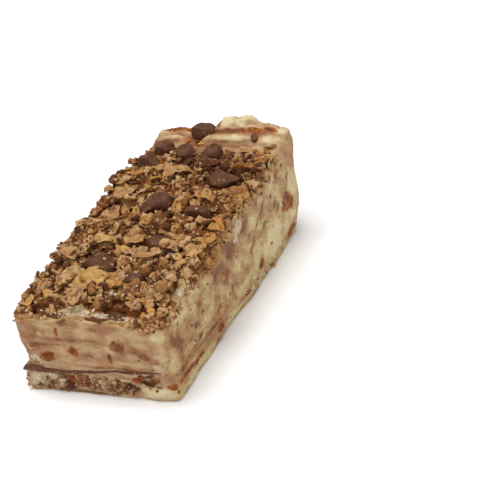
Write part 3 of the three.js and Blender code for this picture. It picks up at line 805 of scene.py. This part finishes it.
BED_BARE = [
    (-4.4, -51.6, 25.4, 6, 3.4, 2.4), (9.6, -51.6, 25, 6, 3, 2.4), (21.5, -37.5, 27, 2.2, 5, 2.4),
    (22.6, -47, 25, 1.5, 5, 2), (22.6, 2, 28, 1, 5, 2.4), (-16, 36.5, 32, 4, 2, 2), (4, 36.5, 31, 3, 2, 2),
    (17, 36.8, 32, 4, 1.6, 2), (-22.6, 8, 28, 0.8, 20, 1.6),
]
BED_WHITE = [
    (-5.6, -50, 26.2, 3.4, 2.4, 2.4), (-1.6, -50, 26.2, 3.4, 2.2, 2.4), (4.2, -50.9, 26, 3.6, 1.6, 1.6),
    (10.6, -51.2, 25.6, 2.4, 1.8, 1.8), (21.8, -37, 27, 1.6, 4, 2),
]


def build_bed():
    """The bed of crumb that the loose pieces lie on, with bare fudge and chocolate smears in it."""
    obj = fine_copy("crumb_bed", ["topping"], BED_VOXEL, 2)
    p = points_of(obj)
    n = normals_of(obj)
    cocoa = blots(p, BED_COCOA, 0.5, 310)
    steep = 1 - smoothstep(n[:, 2], 0.3, 0.7)
    rim = steep * np.maximum(smoothstep(-p[:, 1], 49.5, 50.6), 0.6 * smoothstep(np.abs(p[:, 0]), 21.4, 22.4))
    bare = np.maximum(blots(p, BED_BARE, 0.45, 340), rim)
    distance = cells(p / 1.3, 33)[0]
    rough = fractal(p / 0.8, 34, 3)
    lift = 0.1 + (0.3 * (0.5 - distance) + 0.24 * rough) * (1 - 0.5 * cocoa) * (1 - 0.6 * bare)
    moved = p + n * lift[:, None]
    moved[:, 2] -= BED_SINK * smoothstep(n[:, 2], 0.4, 0.9) + UNDERSIDE_SINK * smoothstep(-n[:, 2], 0.1, 0.5)
    moved[:, 1] += 0.3 * smoothstep(-p[:, 1], 49, 50.5)
    move_points(obj, moved)
    give(obj, cocoa=cocoa, bare=bare, white=blots(p, BED_WHITE, 0.6, 370, 0.3))
    bed_material().paint(obj)
    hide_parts("topping")
    return ride(obj)


# Pieces beyond this y are round drops and the others are broken shards, which are lifted to show
ROUND_BEYOND = 29
ROUND_CHIPPING = 0.16
SHARD_CHIPPING = 0.25
SHARD_RISE = 0.45
SIDES_CHIPPED = 10
# The pieces at the near edge that are smeared flat, and to which share of their height
SMEARED_PIECES = ("chocolate_12", "chocolate_13")
SMEARED_HEIGHT = 0.55


def chipped(points, middle, depth):
    """Points of a piece with some of its sides knocked flat, deeper the greater the depth."""
    points = points - middle
    for _ in range(SIDES_CHIPPED):
        side = rng.normal(size=3) * np.array([1, 1, 0.7])
        side /= np.linalg.norm(side)
        out = points @ side
        keep = rng.uniform(1 - 1.5 * depth, 1 - 0.4 * depth)
        points = points - np.maximum(out - keep * out.max(), 0)[:, None] * side
    return points + middle


def build_chocolate():
    """The larger chocolate pieces: round drops at the far end, and shards and smears nearer."""
    nodes = sorted(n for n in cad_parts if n.startswith("chocolate_") and n != "chocolate_seam")
    obj = fine_copy("chocolate_pieces", nodes, CHOCOLATE_VOXEL, 2)
    p = points_of(obj)
    n = normals_of(obj)
    middles = np.array([points_of(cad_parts[node]).mean(0) for node in nodes])
    nearest = np.linalg.norm(p[:, None] - middles, axis=2).argmin(1)
    lift = 1.0 + 0.2 * fractal(p / 2.6, 42, 3) + 0.08 * fractal(p / 0.8, 43, 2)
    moved = p + n * lift[:, None]
    for k, middle in enumerate(middles):
        own = nearest == k
        is_round = middle[1] > ROUND_BEYOND
        moved[own] = chipped(moved[own], middle, ROUND_CHIPPING if is_round else SHARD_CHIPPING)
        if not is_round and nodes[k] not in SMEARED_PIECES:
            moved[own, 2] += SHARD_RISE
    moved += n * (0.16 * fractal(p / 1.2, 44, 3) + 0.4 * np.minimum(fractal(p / 2.0, 45, 2), 0))[:, None]
    for name in SMEARED_PIECES:
        smear = nearest == nodes.index(name)
        low = moved[smear, 2].min()
        moved[smear, 2] = low + SMEARED_HEIGHT * (moved[smear, 2] - low)
    move_points(obj, moved)
    chocolate_material("milk_chocolate", PIECE_DUST, PIECE_SHADES).paint(obj)
    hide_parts(*nodes)
    return ride(obj)


# Loose pieces

class Pile:
    """The height of what lies on the bar, on a fine grid, so that each piece rests on those before it."""

    def __init__(self, carriers, smooth_ones):
        self.xs = np.arange(-PILE_ACROSS, PILE_ACROSS + 0.01, PILE_CELL)
        self.ys = np.arange(-PILE_ALONG, PILE_ALONG + 0.01, PILE_CELL)
        self.top = np.full((len(self.xs), len(self.ys)), -1.0)
        self.clear = np.zeros(self.top.shape, bool)
        graph = bpy.context.evaluated_depsgraph_get()
        down = Vector((0, 0, -1))
        for obj in carriers:
            tree = BVHTree.FromObject(obj, graph)
            for i, x in enumerate(self.xs):
                for j, y in enumerate(self.ys):
                    hit = tree.ray_cast(Vector((x * MM, y * MM, PILE_OVER * MM)), down)[0]
                    if hit is not None and hit.z / MM > self.top[i, j]:
                        self.top[i, j] = hit.z / MM
                        self.clear[i, j] = obj in smooth_ones

    def cell(self, p):
        i = np.clip(np.round((p[:, 0] - self.xs[0]) / PILE_CELL).astype(int), 0, len(self.xs) - 1)
        j = np.clip(np.round((p[:, 1] - self.ys[0]) / PILE_CELL).astype(int), 0, len(self.ys) - 1)
        return i, j

    def settle(self, points, sunk, over_chocolate, hold=0.74, guard=False):
        """Lowers or lifts a piece so that the given share of it is sunk in. Returns None where it can't lie:
        too much over the chocolate, or too small a share held by the bar. A guarded piece is kept as clear
        of later ones as the chocolate is."""
        i, j = self.cell(points)
        floor = self.top[i, j]
        held = floor > LOWEST_TOP
        if held.mean() < hold or self.clear[i, j].mean() > over_chocolate:
            return None
        drop = np.quantile((points[:, 2] - floor)[held], sunk)
        laid = points - np.array([0, 0, drop])
        np.maximum.at(self.top, (i[held], j[held]), laid[held, 2])
        if guard:
            self.clear[i[held], j[held]] = True
        return laid


def turn_about(axis, angle):
    return np.array(Matrix.Rotation(angle, 3, Vector(axis)))


def random_turn():
    """A turn about a random axis."""
    axis = rng.normal(size=3)
    return turn_about(axis / np.linalg.norm(axis), rng.uniform(0, 2 * math.pi))


def ball(level):
    """Points and triangles of a ball of radius 1."""
    mesh = bpy.data.meshes.new("ball")
    bm = bmesh.new()
    bmesh.ops.create_icosphere(bm, subdivisions=level, radius=1)
    bm.to_mesh(mesh)
    bm.free()
    points = np.array([v.co for v in mesh.vertices])
    faces = np.array([list(f.vertices) for f in mesh.polygons])
    bpy.data.meshes.remove(mesh)
    return points, faces


BALLS = {level: ball(level) for level in (1, 2, 3)}


def lump(level, size, uneven, angular=0.0):
    """An uneven grain about size across: a ball drawn in and out, and cut flat on some sides."""
    points, faces = BALLS[level]
    out = 1 + uneven * fractal(points * 1.3 + rng.uniform(0, 99, 3), 0, 2)
    shape = points * out[:, None]
    for _ in range(int(6 * angular)):
        side = rng.normal(size=3)
        side /= np.linalg.norm(side)
        beyond = np.maximum(shape @ side - rng.uniform(0.45, 0.75), 0)
        shape -= beyond[:, None] * side
    shape = shape * rng.uniform(0.72, 1.2, 3) @ random_turn().T
    return shape * size / 2, faces


def plate_faces(rings, spokes):
    """Triangles of a closed plate: two discs of rings and spokes, and the rim that joins them."""
    faces = []
    for k in range(spokes):
        m = (k + 1) % spokes
        faces.append((0, 1 + k, 1 + m))
        for r in range(rings - 1):
            a, b = 1 + r * spokes, 1 + (r + 1) * spokes
            faces += [(a + k, b + k, b + m), (a + k, b + m, a + m)]
    faces = np.array(faces)
    count = 1 + rings * spokes
    last = count - spokes
    around = [(last + k, last + (k + 1) % spokes) for k in range(spokes)]
    walls = [(a, a + count, b + count) for a, b in around] + [(a, b + count, b) for a, b in around]
    return np.concatenate([faces, faces[:, ::-1] + count, np.array(walls)])


# Rings and spokes of the flakes' meshes, and the length from which a flake is fine
FINE_PLATE = (7, 24)
COARSE_PLATE = (4, 16)
FINE_FROM = 3.6
PLATES = {size: plate_faces(*size) for size in (FINE_PLATE, COARSE_PLATE)}


def flake_plan(long, wide, rings, spokes, angles):
    """Points of a flake seen from above, broken off straight on some sides, and how far out each lies."""
    breaks = rng.uniform(0, math.tau, 4)
    away = np.cos(angles[:, None] - breaks)
    cut = np.where(away > 0.2, rng.uniform(0.7, 1.05, 4) / np.maximum(away, 0.2), 9).min(1)
    waves = 0.13 * np.sin(3 * angles + breaks[0]) + 0.1 * np.sin(5 * angles + breaks[1])
    outline = np.minimum(cut, 1.05) * (1 + waves) * rng.uniform(0.9, 1.1, spokes)
    outline = 0.5 * outline + 0.25 * (np.roll(outline, 1) + np.roll(outline, -1))
    steps = np.linspace(0, 1, rings + 1)[1:]
    ring = np.stack([np.cos(angles), np.sin(angles)], 1) * outline[:, None]
    plan = np.concatenate([[[0, 0]]] + [ring * r for r in steps]) * np.array([long, wide]) / 2
    return plan, np.concatenate([[0]] + [np.full(spokes, r) for r in steps])


def flake(long, wide):
    """A crushed flake: a thin plate, bent, creased, curled up on one side and blistered. Also gives how
    much each point is painted paler as a highlight on its blisters."""
    thick = rng.uniform(0.4, 0.65)
    rings, spokes = FINE_PLATE if long > FINE_FROM else COARSE_PLATE
    angles = np.arange(spokes) * 2 * math.pi / spokes
    plan, rim = flake_plan(long, wide, rings, spokes, angles)
    place = np.column_stack([plan, np.zeros(len(plan))]) + rng.uniform(0, 99, 3)
    half = max(long, wide) / 2
    lie = rng.uniform(0, math.pi)
    across = plan @ np.array([math.cos(lie), math.sin(lie)])
    along = plan @ np.array([-math.sin(lie), math.cos(lie)])
    height = rng.uniform(0.05, 0.35) * rng.choice([-1, 1]) * across ** 2 / half
    crease = rng.uniform(-0.4, 0.4)
    height += crease * np.abs(along - rng.uniform(-0.3, 0.3) * half)
    curl = np.cos(np.concatenate([[0]] + [angles] * rings) - rng.uniform(0, math.tau))
    height += rng.uniform(0, 0.45) * half * np.maximum(curl, 0) * rim ** 3
    blisters = np.abs(noise(place / 2.6, 3)) + 0.4 * np.abs(noise(place / 1.1, 4))
    height += min(1.5, 0.32 * long) * blisters
    edge = thick * (1 - 0.5 * rim ** 3) / 2
    upper = np.column_stack([plan, height + edge])
    lower = np.column_stack([plan, height - edge])
    # How much each point is painted paler on the blisters, as a highlight
    raised = np.clip(1.6 * blisters, 0, 1)
    return np.concatenate([upper, lower]), PLATES[rings, spokes], np.concatenate([raised, raised])


class Heap:
    """Grains or flakes of one kind, gathered into one mesh, with a tint for each and how much it is
    painted paler as a highlight on its blisters.
    """

    def __init__(self, name, shader, slot, smooth=True):
        self.name, self.shader, self.slot, self.smooth = name, shader, slot, smooth
        self.points, self.faces, self.tints, self.raised = [], [], [], []
        self.count = 0

    def put(self, points, faces, tint, raised=None):
        self.points.append(points)
        self.faces.append(faces + self.count)
        self.tints.append(np.full(len(points), tint))
        self.raised.append(np.zeros(len(points)) if raised is None else raised)
        self.count += len(points)

    def finish(self):
        obj = mesh_object(self.name, np.concatenate(self.points), np.concatenate(self.faces), self.smooth)
        give(obj, tint=np.concatenate(self.tints), raised=np.concatenate(self.raised))
        self.shader.paint(obj)
        return ride(obj)


def strewn(x, y):
    """True where the top is strewn: not at the bare near edge, a bare place on the right or the far end."""
    end = STREWN_END + 2.0 * math.sin(0.5 * x) + 1.6 * math.sin(0.23 * x + 2)
    bare_edge = y < -48.6 - 0.8 * math.sin(0.9 * x) and -10 < x < 15
    bare_side = x > 19.8 + 0.5 * math.sin(1.3 * y) and -43 < y < -33.5
    return y < end and not bare_edge and not bare_side


def thin_corner(x, y):
    """True at the near left corner, where crumbs lie but no heaped flakes."""
    return x + 0.6 * y < -44


def anywhere():
    return rng.uniform(-TOP_ACROSS, TOP_ACROSS), rng.uniform(TOP_NEAR, STREWN_END + 2)


def near_part():
    return rng.uniform(-TOP_ACROSS, TOP_ACROSS), rng.uniform(TOP_NEAR, NEAR_PART_END)


# The smears that lie on the top come first, and the far ones first of these
TOP_SMEARS = 16
FAR_SMEARS = 3
SMEAR_SPREAD = 0.7
OUTSIDE_SMEARS = 0.4


def in_smear(count):
    """A place in one of the first so many chocolate smears."""
    x, y, _, across, along, _ = BED_COCOA[rng.integers(count)]
    return x + SMEAR_SPREAD * across * rng.normal(), y + SMEAR_SPREAD * along * rng.normal()


def in_cocoa():
    """A place that is more often in one of the chocolate smears than elsewhere."""
    return anywhere() if rng.random() < OUTSIDE_SMEARS else in_smear(TOP_SMEARS)


def far_cocoa():
    """A place in the chocolate smears of the far part."""
    return in_smear(FAR_SMEARS)


# Main flakes on the top: place, length, width and turn in degrees
MAIN_FLAKES = [
    (-16.4, 10.2, 8.5, 6, 10), (-12.4, 3, 7, 5, -15), (-15.2, -4.7, 10, 8, 5), (-0.4, -16.8, 6.5, 5, 20),
    (1.7, -20.2, 4.4, 4, 40), (-2.6, -20.4, 4.2, 3.6, 0), (-9.8, -20.4, 6.5, 4.6, 10),
    (-7.4, -24, 5.5, 4.4, -20), (-2.8, -39.7, 8.5, 7.5, 15), (3.5, -39.6, 6, 5, -30),
    (-10.6, -35.6, 6.5, 4, 20), (-15.4, -28.4, 6, 5, 0), (0.4, -36, 5, 3, 10), (16.2, -5.5, 6, 5, 25),
    (11.4, -14, 7, 4.6, -20), (21, -15.6, 9, 4.4, 70), (19.6, -22.2, 5, 5, 45), (8.5, -25.8, 7, 4, 5),
    (-10.2, 8, 4.5, 3.6, 30), (-2.8, 19.6, 8.5, 6.5, 40), (-8.9, 23.9, 6.5, 4.6, 10),
    (-9.6, 18.8, 5.5, 3.6, -10), (16.9, 24.6, 9.5, 6, -25), (19.4, 11.4, 8, 6.4, 15),
    (20.6, 29.1, 6.5, 5, 35), (11.2, 41.1, 4, 3.6, 10), (19.3, 41.8, 4.2, 2.6, 20), (11.3, 7.6, 6, 4.6, 20),
    (-19.4, -47.6, 4.2, 3.4, 60), (-9.7, -46.8, 6, 3.2, 30), (16.9, -46.8, 4.6, 3.6, -20),
    (-17, 18.3, 5.6, 4.2, 50),
]

# Flakes and grains nearer than this y are paler, by these shares
PALER_BEFORE = -16
PALER_FLAKES = 0.55
PALER_GRAINS = 0.3

# How pieces lie: height they drop from, share sunk in, most that is over chocolate and least that is held
DROP_FROM = 40
FLAKE_SUNK = 0.22
GRAIN_SUNK = 0.4
STREWN_REST = {"over_chocolate": 0.1, "hold": 0.92}
PLACED_REST = {"over_chocolate": 0.25, "hold": 0.66, "guard": True}

# Strewn flakes lean less beyond this x on the left, so that they don't stand out over the edge
LEFT_BEYOND = -17
LEFT_LEAN = 0.25
MOST_LEAN = 0.7


def random_tint(y, paler):
    return rng.random() ** (1 - paler if y < PALER_BEFORE else 1.0)


def lay_flake(pile, heap, x, y, long, wide, turn, lean, rest=STREWN_REST, toward=None):
    """Lays a flake on the top, turned by degrees and leaning about the given or a random direction."""
    points, faces, raised = flake(long, wide)
    toward = rng.uniform(0, 2 * math.pi) if toward is None else toward - math.radians(turn)
    tilt = turn_about((math.cos(toward), math.sin(toward), 0), lean)
    turned = points @ tilt.T @ turn_about((0, 0, 1), math.radians(turn)).T
    laid = pile.settle(turned + np.array([x, y, DROP_FROM]), FLAKE_SUNK, **rest)
    if laid is not None:
        heap.put(laid, faces, random_tint(y, PALER_FLAKES), raised)


def drape(tree, heap, place, long, wide, turn):
    """Lays a flake flat against the nearest face."""
    spot, normal, _, _ = tree.find_nearest(Vector(place) * MM)
    points, faces, raised = flake(long, wide)
    upright = np.array(Vector((0, 0, 1)).rotation_difference(normal).to_matrix())
    points = points @ turn_about((0, 0, 1), math.radians(turn)).T @ upright.T
    heap.put(points + np.array(spot) / MM + 0.1 * np.array(normal), faces, rng.random(), raised)


class Flakes:
    """Crushed flakes of a range of lengths, strewn on the top."""

    def __init__(self, heap, shortest, longest):
        self.heap, self.shortest, self.longest = heap, shortest, longest

    def strew(self, pile, count, places):
        """Lays flakes on the top, at places that a function gives."""
        for _ in range(count):
            x, y = places()
            if strewn(x, y) and not thin_corner(x, y):
                long = self.shortest + (self.longest - self.shortest) * rng.random() ** 1.4
                wide = long * rng.uniform(0.6, 0.95)
                lean = rng.uniform(0, LEFT_LEAN if x < LEFT_BEYOND else MOST_LEAN)
                lay_flake(pile, self.heap, x, y, long, wide, rng.uniform(0, 360), lean)


class Grain:
    """A kind of loose grain: its range of sizes, shape and how much of it may lie over chocolate."""

    def __init__(self, heap, sizes, level, uneven, angular, over_chocolate=1.0):
        self.heap, self.sizes, self.level, self.uneven = heap, sizes, level, uneven
        self.angular, self.over_chocolate = angular, over_chocolate

    def make(self, size=None):
        low, high = self.sizes
        return lump(self.level, size or low + (high - low) * rng.random() ** 1.7, self.uneven, self.angular)

    def strew(self, pile, count, places):
        """Lays grains on the top, at places that a function gives."""
        for _ in range(count):
            x, y = places()
            if strewn(x, y):
                self.lay(pile, x, y)

    def lay(self, pile, x, y, size=None):
        points, faces = self.make(size)
        laid = pile.settle(points + np.array([x, y, DROP_FROM]), GRAIN_SUNK, self.over_chocolate)
        if laid is not None:
            self.heap.put(laid, faces, random_tint(y, PALER_GRAINS))

    def stick(self, tree, place, size=None, out=0.2, tint=None):
        """Sticks a grain to the face nearest to a place. Out is how far its middle stands out, as a share
        of its size."""
        spot, normal, _, _ = tree.find_nearest(Vector(place) * MM)
        points, faces = self.make(size)
        points = points + np.array(spot) / MM + np.array(normal) * out * np.ptp(points[:, 2])
        if points[:, 2].min() > 0:
            self.heap.put(points, faces, rng.random() if tint is None else tint)

    def cling(self, tree, count, centre, spread):
        """Sticks grains to the nearest faces round a place."""
        for _ in range(count):
            self.stick(tree, np.array(centre) + np.array(spread) * rng.normal(size=3))


def loose_kinds():
    """Each kind of loose piece by name. Those that share a heap become one piece of the scene."""
    def grains(name, shades, roughness, glow, slot, smooth):
        return Heap(name, grain_material(name, shades, roughness, glow), slot, smooth)

    flakes = Heap("golden_flakes", flake_material(), "crust")
    granules = grains("nut_granules", GOLDEN, 0.6, 0.1, "crust", True)
    chocolate = grains("chocolate_crumbs", DARK, 0.5, 0.0, "chocolate", False)
    crumbs = grains("fine_crumbs", EARTHY, 0.7, 0.0, "crust", False)
    pale = grains("pale_grains", PALE, 0.6, 0.1, "crust", False)
    amber = grains("amber_bits", AMBER, 0.4, 0.1, "crust", True)
    white = grains("fudge_crumbs", WHITE, 0.7, 0.1, "fudge", False)
    base = grains("base_crumbs", EARTHY, 0.7, 0.0, "base", False)
    return {
        "small_flake": Flakes(flakes, 1.8, 3.4),
        "middling_flake": Flakes(flakes, 2.4, 4.6),
        "flake": Flakes(flakes, 3.6, 5.4),
        "large_flake": Flakes(flakes, 3.6, 6.0),
        "granule": Grain(granules, (1.2, 3.4), 3, 0.5, 0.6, 0.08),
        "chocolate": Grain(chocolate, (0.5, 2.8), 2, 0.4, 0.9, 0.3),
        "crumb": Grain(crumbs, (0.45, 1.6), 1, 0.4, 0.3, 0.15),
        "dust": Grain(crumbs, (0.25, 0.7), 1, 0.4, 0.3),
        "pale": Grain(pale, (0.4, 1.3), 2, 0.5, 0.7),
        "amber": Grain(amber, (0.9, 2.2), 3, 0.6, 1.0),
        "white": Grain(white, (0.2, 0.65), 2, 0.5, 0.5),
        "chunk": Grain(white, (1.0, 3.0), 3, 0.9, 1.0),
        "speck": Grain(white, (0.16, 0.5), 1, 0.6, 0.3),
        "nut": Grain(base, (0.4, 1.3), 2, 0.5, 0.6),
    }


# What is strewn on the top, before the main flakes and after them: kind, number and where
STREWN_FIRST = [
    ("crumb", 1700, anywhere), ("chocolate", 420, in_cocoa), ("granule", 240, anywhere),
    ("small_flake", 220, anywhere), ("crumb", 900, anywhere), ("flake", 90, anywhere),
    ("small_flake", 60, near_part), ("large_flake", 55, near_part),
]
STREWN_AFTER = [
    ("granule", 230, anywhere), ("granule", 90, near_part), ("crumb", 1300, anywhere),
    ("chocolate", 300, in_cocoa), ("middling_flake", 25, near_part), ("crumb", 200, near_part),
    ("granule", 50, near_part), ("dust", 700, anywhere), ("pale", 90, anywhere), ("pale", 20, near_part),
    ("amber", 6, anywhere),
]
FAR_CHOCOLATE = 150
# Amber bits and chocolate crumbs that are laid singly: x, y and size
AMBER_PLACES = [
    (17.2, -50.6, 2.4), (18.6, -49.2, 1.8), (16, -47.6, 2), (20.6, -4.6, 3), (-9.6, 43.8, 2.4),
    (-4.2, 42.3, 2), (6, 39, 2), (4, 3.3, 1.4), (-19.6, 2, 1.6), (18.2, -21, 1.5), (19.8, 33.6, 2.6),
    (20.8, 28.4, 2.2),
]
CHOCOLATE_PLACES = [
    (13, 44.8, 2.8), (-5.4, 42.6, 2.4), (0.8, 38.6, 2.2), (8.6, 36.2, 2.8), (21.4, 31, 2.4),
    (17.6, 19.6, 3),
]

# White crumbs where the fudge crumbles, nut crumbs in the base and pale specks: place, spread and
# number. The pale specks are partly white fudge crumbs and partly painted glints.
WHITE_CRUMBLES = [
    ((-4, -50.6, 26), (3, 0.7, 0.4), 140), ((4.2, -51, 26), (1.6, 0.4, 0.2), 36),
    ((10.2, -51.2, 25.4), (1, 0.5, 0.4), 26), ((22.3, -37, 26.2), (0.5, 2.4, 0.8), 40),
    ((22.7, 1.6, 25.2), (0.3, 1.8, 1.5), 90), ((22.8, 6, 3), (0.3, 3, 0.9), 30),
    ((22.6, 20, 1.6), (0.3, 4, 0.5), 24), ((22.6, 13.4, 3.2), (0.3, 2.6, 0.9), 34),
    ((-20, -51.8, 9.4), (1.4, 0.3, 0.9), 26), ((-19, -51.8, 4), (2.4, 0.4, 0.8), 34),
    ((20, -52.2, 11.4), (0.6, 0.3, 0.5), 8), ((-22.6, 12, 26), (0.3, 9, 0.9), 60),
    ((0, -51.6, 3.6), (9, 0.4, 1.2), 30),
]
NUT_CRUMBLES = [
    ((-8, -51.6, 3.4), (7, 0.4, 1.2), 30), ((9, -51.6, 4.4), (5, 0.4, 1.2), 20),
    ((-22.8, -25, 3), (0.4, 14, 1.2), 60), ((0, 48, 3), (6, 0.4, 1.2), 50),
    ((22.8, 24, 1.2), (0.2, 1.6, 0.4), 10),
]
SPECKS_AND_GLINTS = [
    ((0, -52, 17), (11, 0.3, 4), 45), ((22.6, 0, 16), (0.3, 24, 6), 110),
    ((-22.6, 0, 16), (0.3, 24, 6), 110), ((0, 52, 16), (11, 0.3, 6), 60),
]
# White crumbles above this height lie on the rim of the crumb bed
RIM_FROM = 24.5
# Chunks torn up at the near end: place, size and tint, and how far they stand out
TORN_CHUNKS = [
    ((20, -52.2, 11.8), 3, 0.1), ((21.2, -51.8, 12.6), 2.4, 0), ((18.9, -52.2, 11.2), 2, 0.05),
    ((20.8, -51.9, 10.9), 2, 0), ((-14, -52.2, 19.2), 1.8, -0.2), ((-18.6, -51.8, 14.6), 1.6, -0.2),
]
CHUNKS_OUT = -0.1

# Crumbs and granules heaped on the near right corner, and crumbs spilt over it: place, spread and numbers
CORNER_CRUMBLE = ((17.6, -51.6, 24.8), (2, 0.8, 0.7))
CORNER_SPILL = ((17.2, -52.2, 23.7), (1.3, 0.4, 0.5))
CORNER_CRUMBS = 190
CORNER_GRANULES = 3
SPILT_CRUMBS = 120

# Flakes that hang over the right edge: place, length, width, turn in degrees and lean
EDGE_FLAKES = [
    (21, -14.6, 9, 4.6, 80, 0.75), (21.2, -8, 5, 4, 60, 0.5), (20.8, -22.4, 5, 4.4, 45, 0.4),
    (21.2, 5, 5, 3.6, 75, 0.6), (21.2, 18, 5.4, 4, 70, 0.5), (20.8, 33, 5, 4, 80, 0.6),
    (20.6, -30.4, 4.4, 3.4, 75, 0.4),
]
# Flakes that lie against the right side under its edge: place, length, width and turn in degrees
DRAPED_FLAKES = [
    ((22.8, -14.3, 26.2), 8, 4.6, 70), ((22.8, -8.6, 27), 4.4, 3.4, 30), ((22.8, -20.4, 26), 4.4, 3.6, 100),
    ((22.4, 26.2, 29.8), 4.6, 3.6, 60), ((22.4, 31.8, 30.4), 4, 3, 20), ((22.4, 11.8, 28.4), 4, 3, 80),
]
# Crumbs along the right edge: y, how far they hang down, and number, with a granule for so many of them
EDGE_CRUMBS = [
    (-47, 0.7, 50), (-43.5, 0.5, 12), (-32.5, 0.5, 14), (-28, 0.9, 36), (-21, 1.2, 44), (-15, 0.9, 30),
    (-8, 1.1, 40), (0, 0.4, 16), (7, 0.9, 24), (14, 0.9, 24), (20, 1.2, 36), (28, 1.2, 30), (35, 1, 30),
]
CRUMBS_A_GRANULE = 12
NO_GRANULES_BEFORE = -40
# Crumbs along the left edge: where, and how many at each place
LEFT_EDGE = range(-48, 38, 6)
LEFT_EDGE_CRUMBS = 30

# The top's side edges: how far out they are, how high at the bar's middle, and their slope
EDGE_OUT = 22.6
EDGE_MIDDLE = 27.7
EDGE_SLOPE = 0.068


def edge_height(y):
    """Height of the top's side edges."""
    return EDGE_MIDDLE + EDGE_SLOPE * y


def strew_top(kinds, pile):
    """What lies on the top: small things first, then the flakes on them, then a last dusting."""
    flakes = kinds["flake"].heap
    for name, count, places in STREWN_FIRST:
        kinds[name].strew(pile, count, places)
    for x, y, long, wide, turn in MAIN_FLAKES:
        lay_flake(pile, flakes, x, y, long, wide, turn, rng.uniform(0.05, 0.45), PLACED_REST)
    for x, y, long, wide, turn, lean in EDGE_FLAKES:
        lay_flake(pile, flakes, x, y, long, wide, turn, lean, PLACED_REST, math.pi / 2)
    for name, count, places in STREWN_AFTER:
        kinds[name].strew(pile, count, places)
    for name, places in ("amber", AMBER_PLACES), ("chocolate", CHOCOLATE_PLACES):
        for x, y, size in places:
            kinds[name].lay(pile, x, y, size)
    kinds["chocolate"].strew(pile, FAR_CHOCOLATE, far_cocoa)


def cling_to_faces(kinds, side, rim):
    """What sticks to the sides and edges, on the block's faces and the rim of the crumb bed."""
    for place, long, wide, turn in DRAPED_FLAKES:
        drape(side, kinds["flake"].heap, place, long, wide, turn)
    for centre, spread, count in WHITE_CRUMBLES:
        kinds["white"].cling(rim if centre[2] > RIM_FROM else side, count, centre, spread)
    for place, size, tint in TORN_CHUNKS:
        kinds["chunk"].stick(side, place, size, CHUNKS_OUT, tint)
    # The pale specks stand partly for glints: painted highlights
    for name, crumbles in ("nut", NUT_CRUMBLES), ("speck", SPECKS_AND_GLINTS):
        for centre, spread, count in crumbles:
            kinds[name].cling(side, count, centre, spread)
    kinds["crumb"].cling(rim, CORNER_CRUMBS, *CORNER_CRUMBLE)
    kinds["granule"].cling(rim, CORNER_GRANULES, *CORNER_CRUMBLE)
    kinds["crumb"].cling(side, SPILT_CRUMBS, *CORNER_SPILL)
    for y, hang, count in EDGE_CRUMBS:
        place = (EDGE_OUT, y, edge_height(y) - 0.4 * hang)
        granules = count // CRUMBS_A_GRANULE if y > NO_GRANULES_BEFORE else 0
        kinds["crumb"].cling(side, count, place, (0.6, 2.6, hang))
        kinds["granule"].cling(side, granules, place, (0.6, 2.6, 0.4 * hang))
    for y in LEFT_EDGE:
        kinds["crumb"].cling(side, LEFT_EDGE_CRUMBS, (-EDGE_OUT, y, edge_height(y) - 0.2), (0.5, 2.6, 0.7))
        kinds["granule"].cling(side, 1, (-22.4, y, edge_height(y)), (0.4, 2.6, 0.3))


def strew(block, bed, chocolate):
    """All that lies loose on the bar, as one piece for each kind."""
    pile = Pile([block, bed, chocolate], [chocolate])
    kinds = loose_kinds()
    strew_top(kinds, pile)
    graph = bpy.context.evaluated_depsgraph_get()
    cling_to_faces(kinds, BVHTree.FromObject(block, graph), BVHTree.FromObject(bed, graph))
    for heap in dict.fromkeys(kind.heap for kind in kinds.values()):
        heap.finish()


# Stage

def add_camera():
    a, e, r = VIEW_AZIMUTH, VIEW_ELEVATION, VIEW_ROLL
    back = Vector((math.sin(a) * math.cos(e), -math.cos(a) * math.cos(e), math.sin(e)))
    level = Vector((0, 0, 1)).cross(back).normalized()
    upright = back.cross(level)
    right = math.cos(r) * level + math.sin(r) * upright
    up = math.cos(r) * upright - math.sin(r) * level
    place = (VIEW_TARGET + VIEW_DISTANCE * back - VIEW_ASIDE * right - VIEW_ABOVE * up) * MM
    data = bpy.data.cameras.new("camera")
    data.lens = VIEW_LENS
    data.sensor_width = 36
    data.clip_start = 0.01
    camera = add_object("camera", data)
    turn = Matrix((right, up, back)).transposed().to_4x4()
    camera.matrix_world = Matrix.Translation(place) @ turn
    bpy.context.scene.camera = camera


def add_light(name, place, power):
    """A soft square light at a place in metres, turned to the bar."""
    data = bpy.data.lights.new(name, "AREA")
    data.size = LIGHT_SIZE
    data.energy = power
    light = add_object(name, data)
    light.location = place
    light.rotation_euler = (-Vector(place)).to_track_quat("-Z", "Y").to_euler()


def add_stage():
    """A white floor in even light, with three soft lights."""
    corners = np.array([[-1, -1, 0], [1, -1, 0], [1, 1, 0], [-1, 1, 0]]) * FLOOR_HALF / MM
    floor = mesh_object("floor", corners, np.array([[0, 1, 2, 3]]))
    Shader("floor_white", base_color=FLOOR_WHITE, roughness=0.6, specular_ior_level=0.1).paint(floor)
    world = bpy.data.worlds.new("studio")
    world.use_nodes = True
    background = world.node_tree.nodes["Background"]
    background.inputs["Color"].default_value = (1, 1, 1, 1)
    background.inputs["Strength"].default_value = ALL_ROUND_STRENGTH
    bpy.context.scene.world = world
    for name, (place, power) in LIGHTS.items():
        add_light(name, place, power)
    bpy.context.scene.view_settings.view_transform = "Standard"


add_camera()
add_stage()

strew(build_block(), build_bed(), build_chocolate())
build_seam()
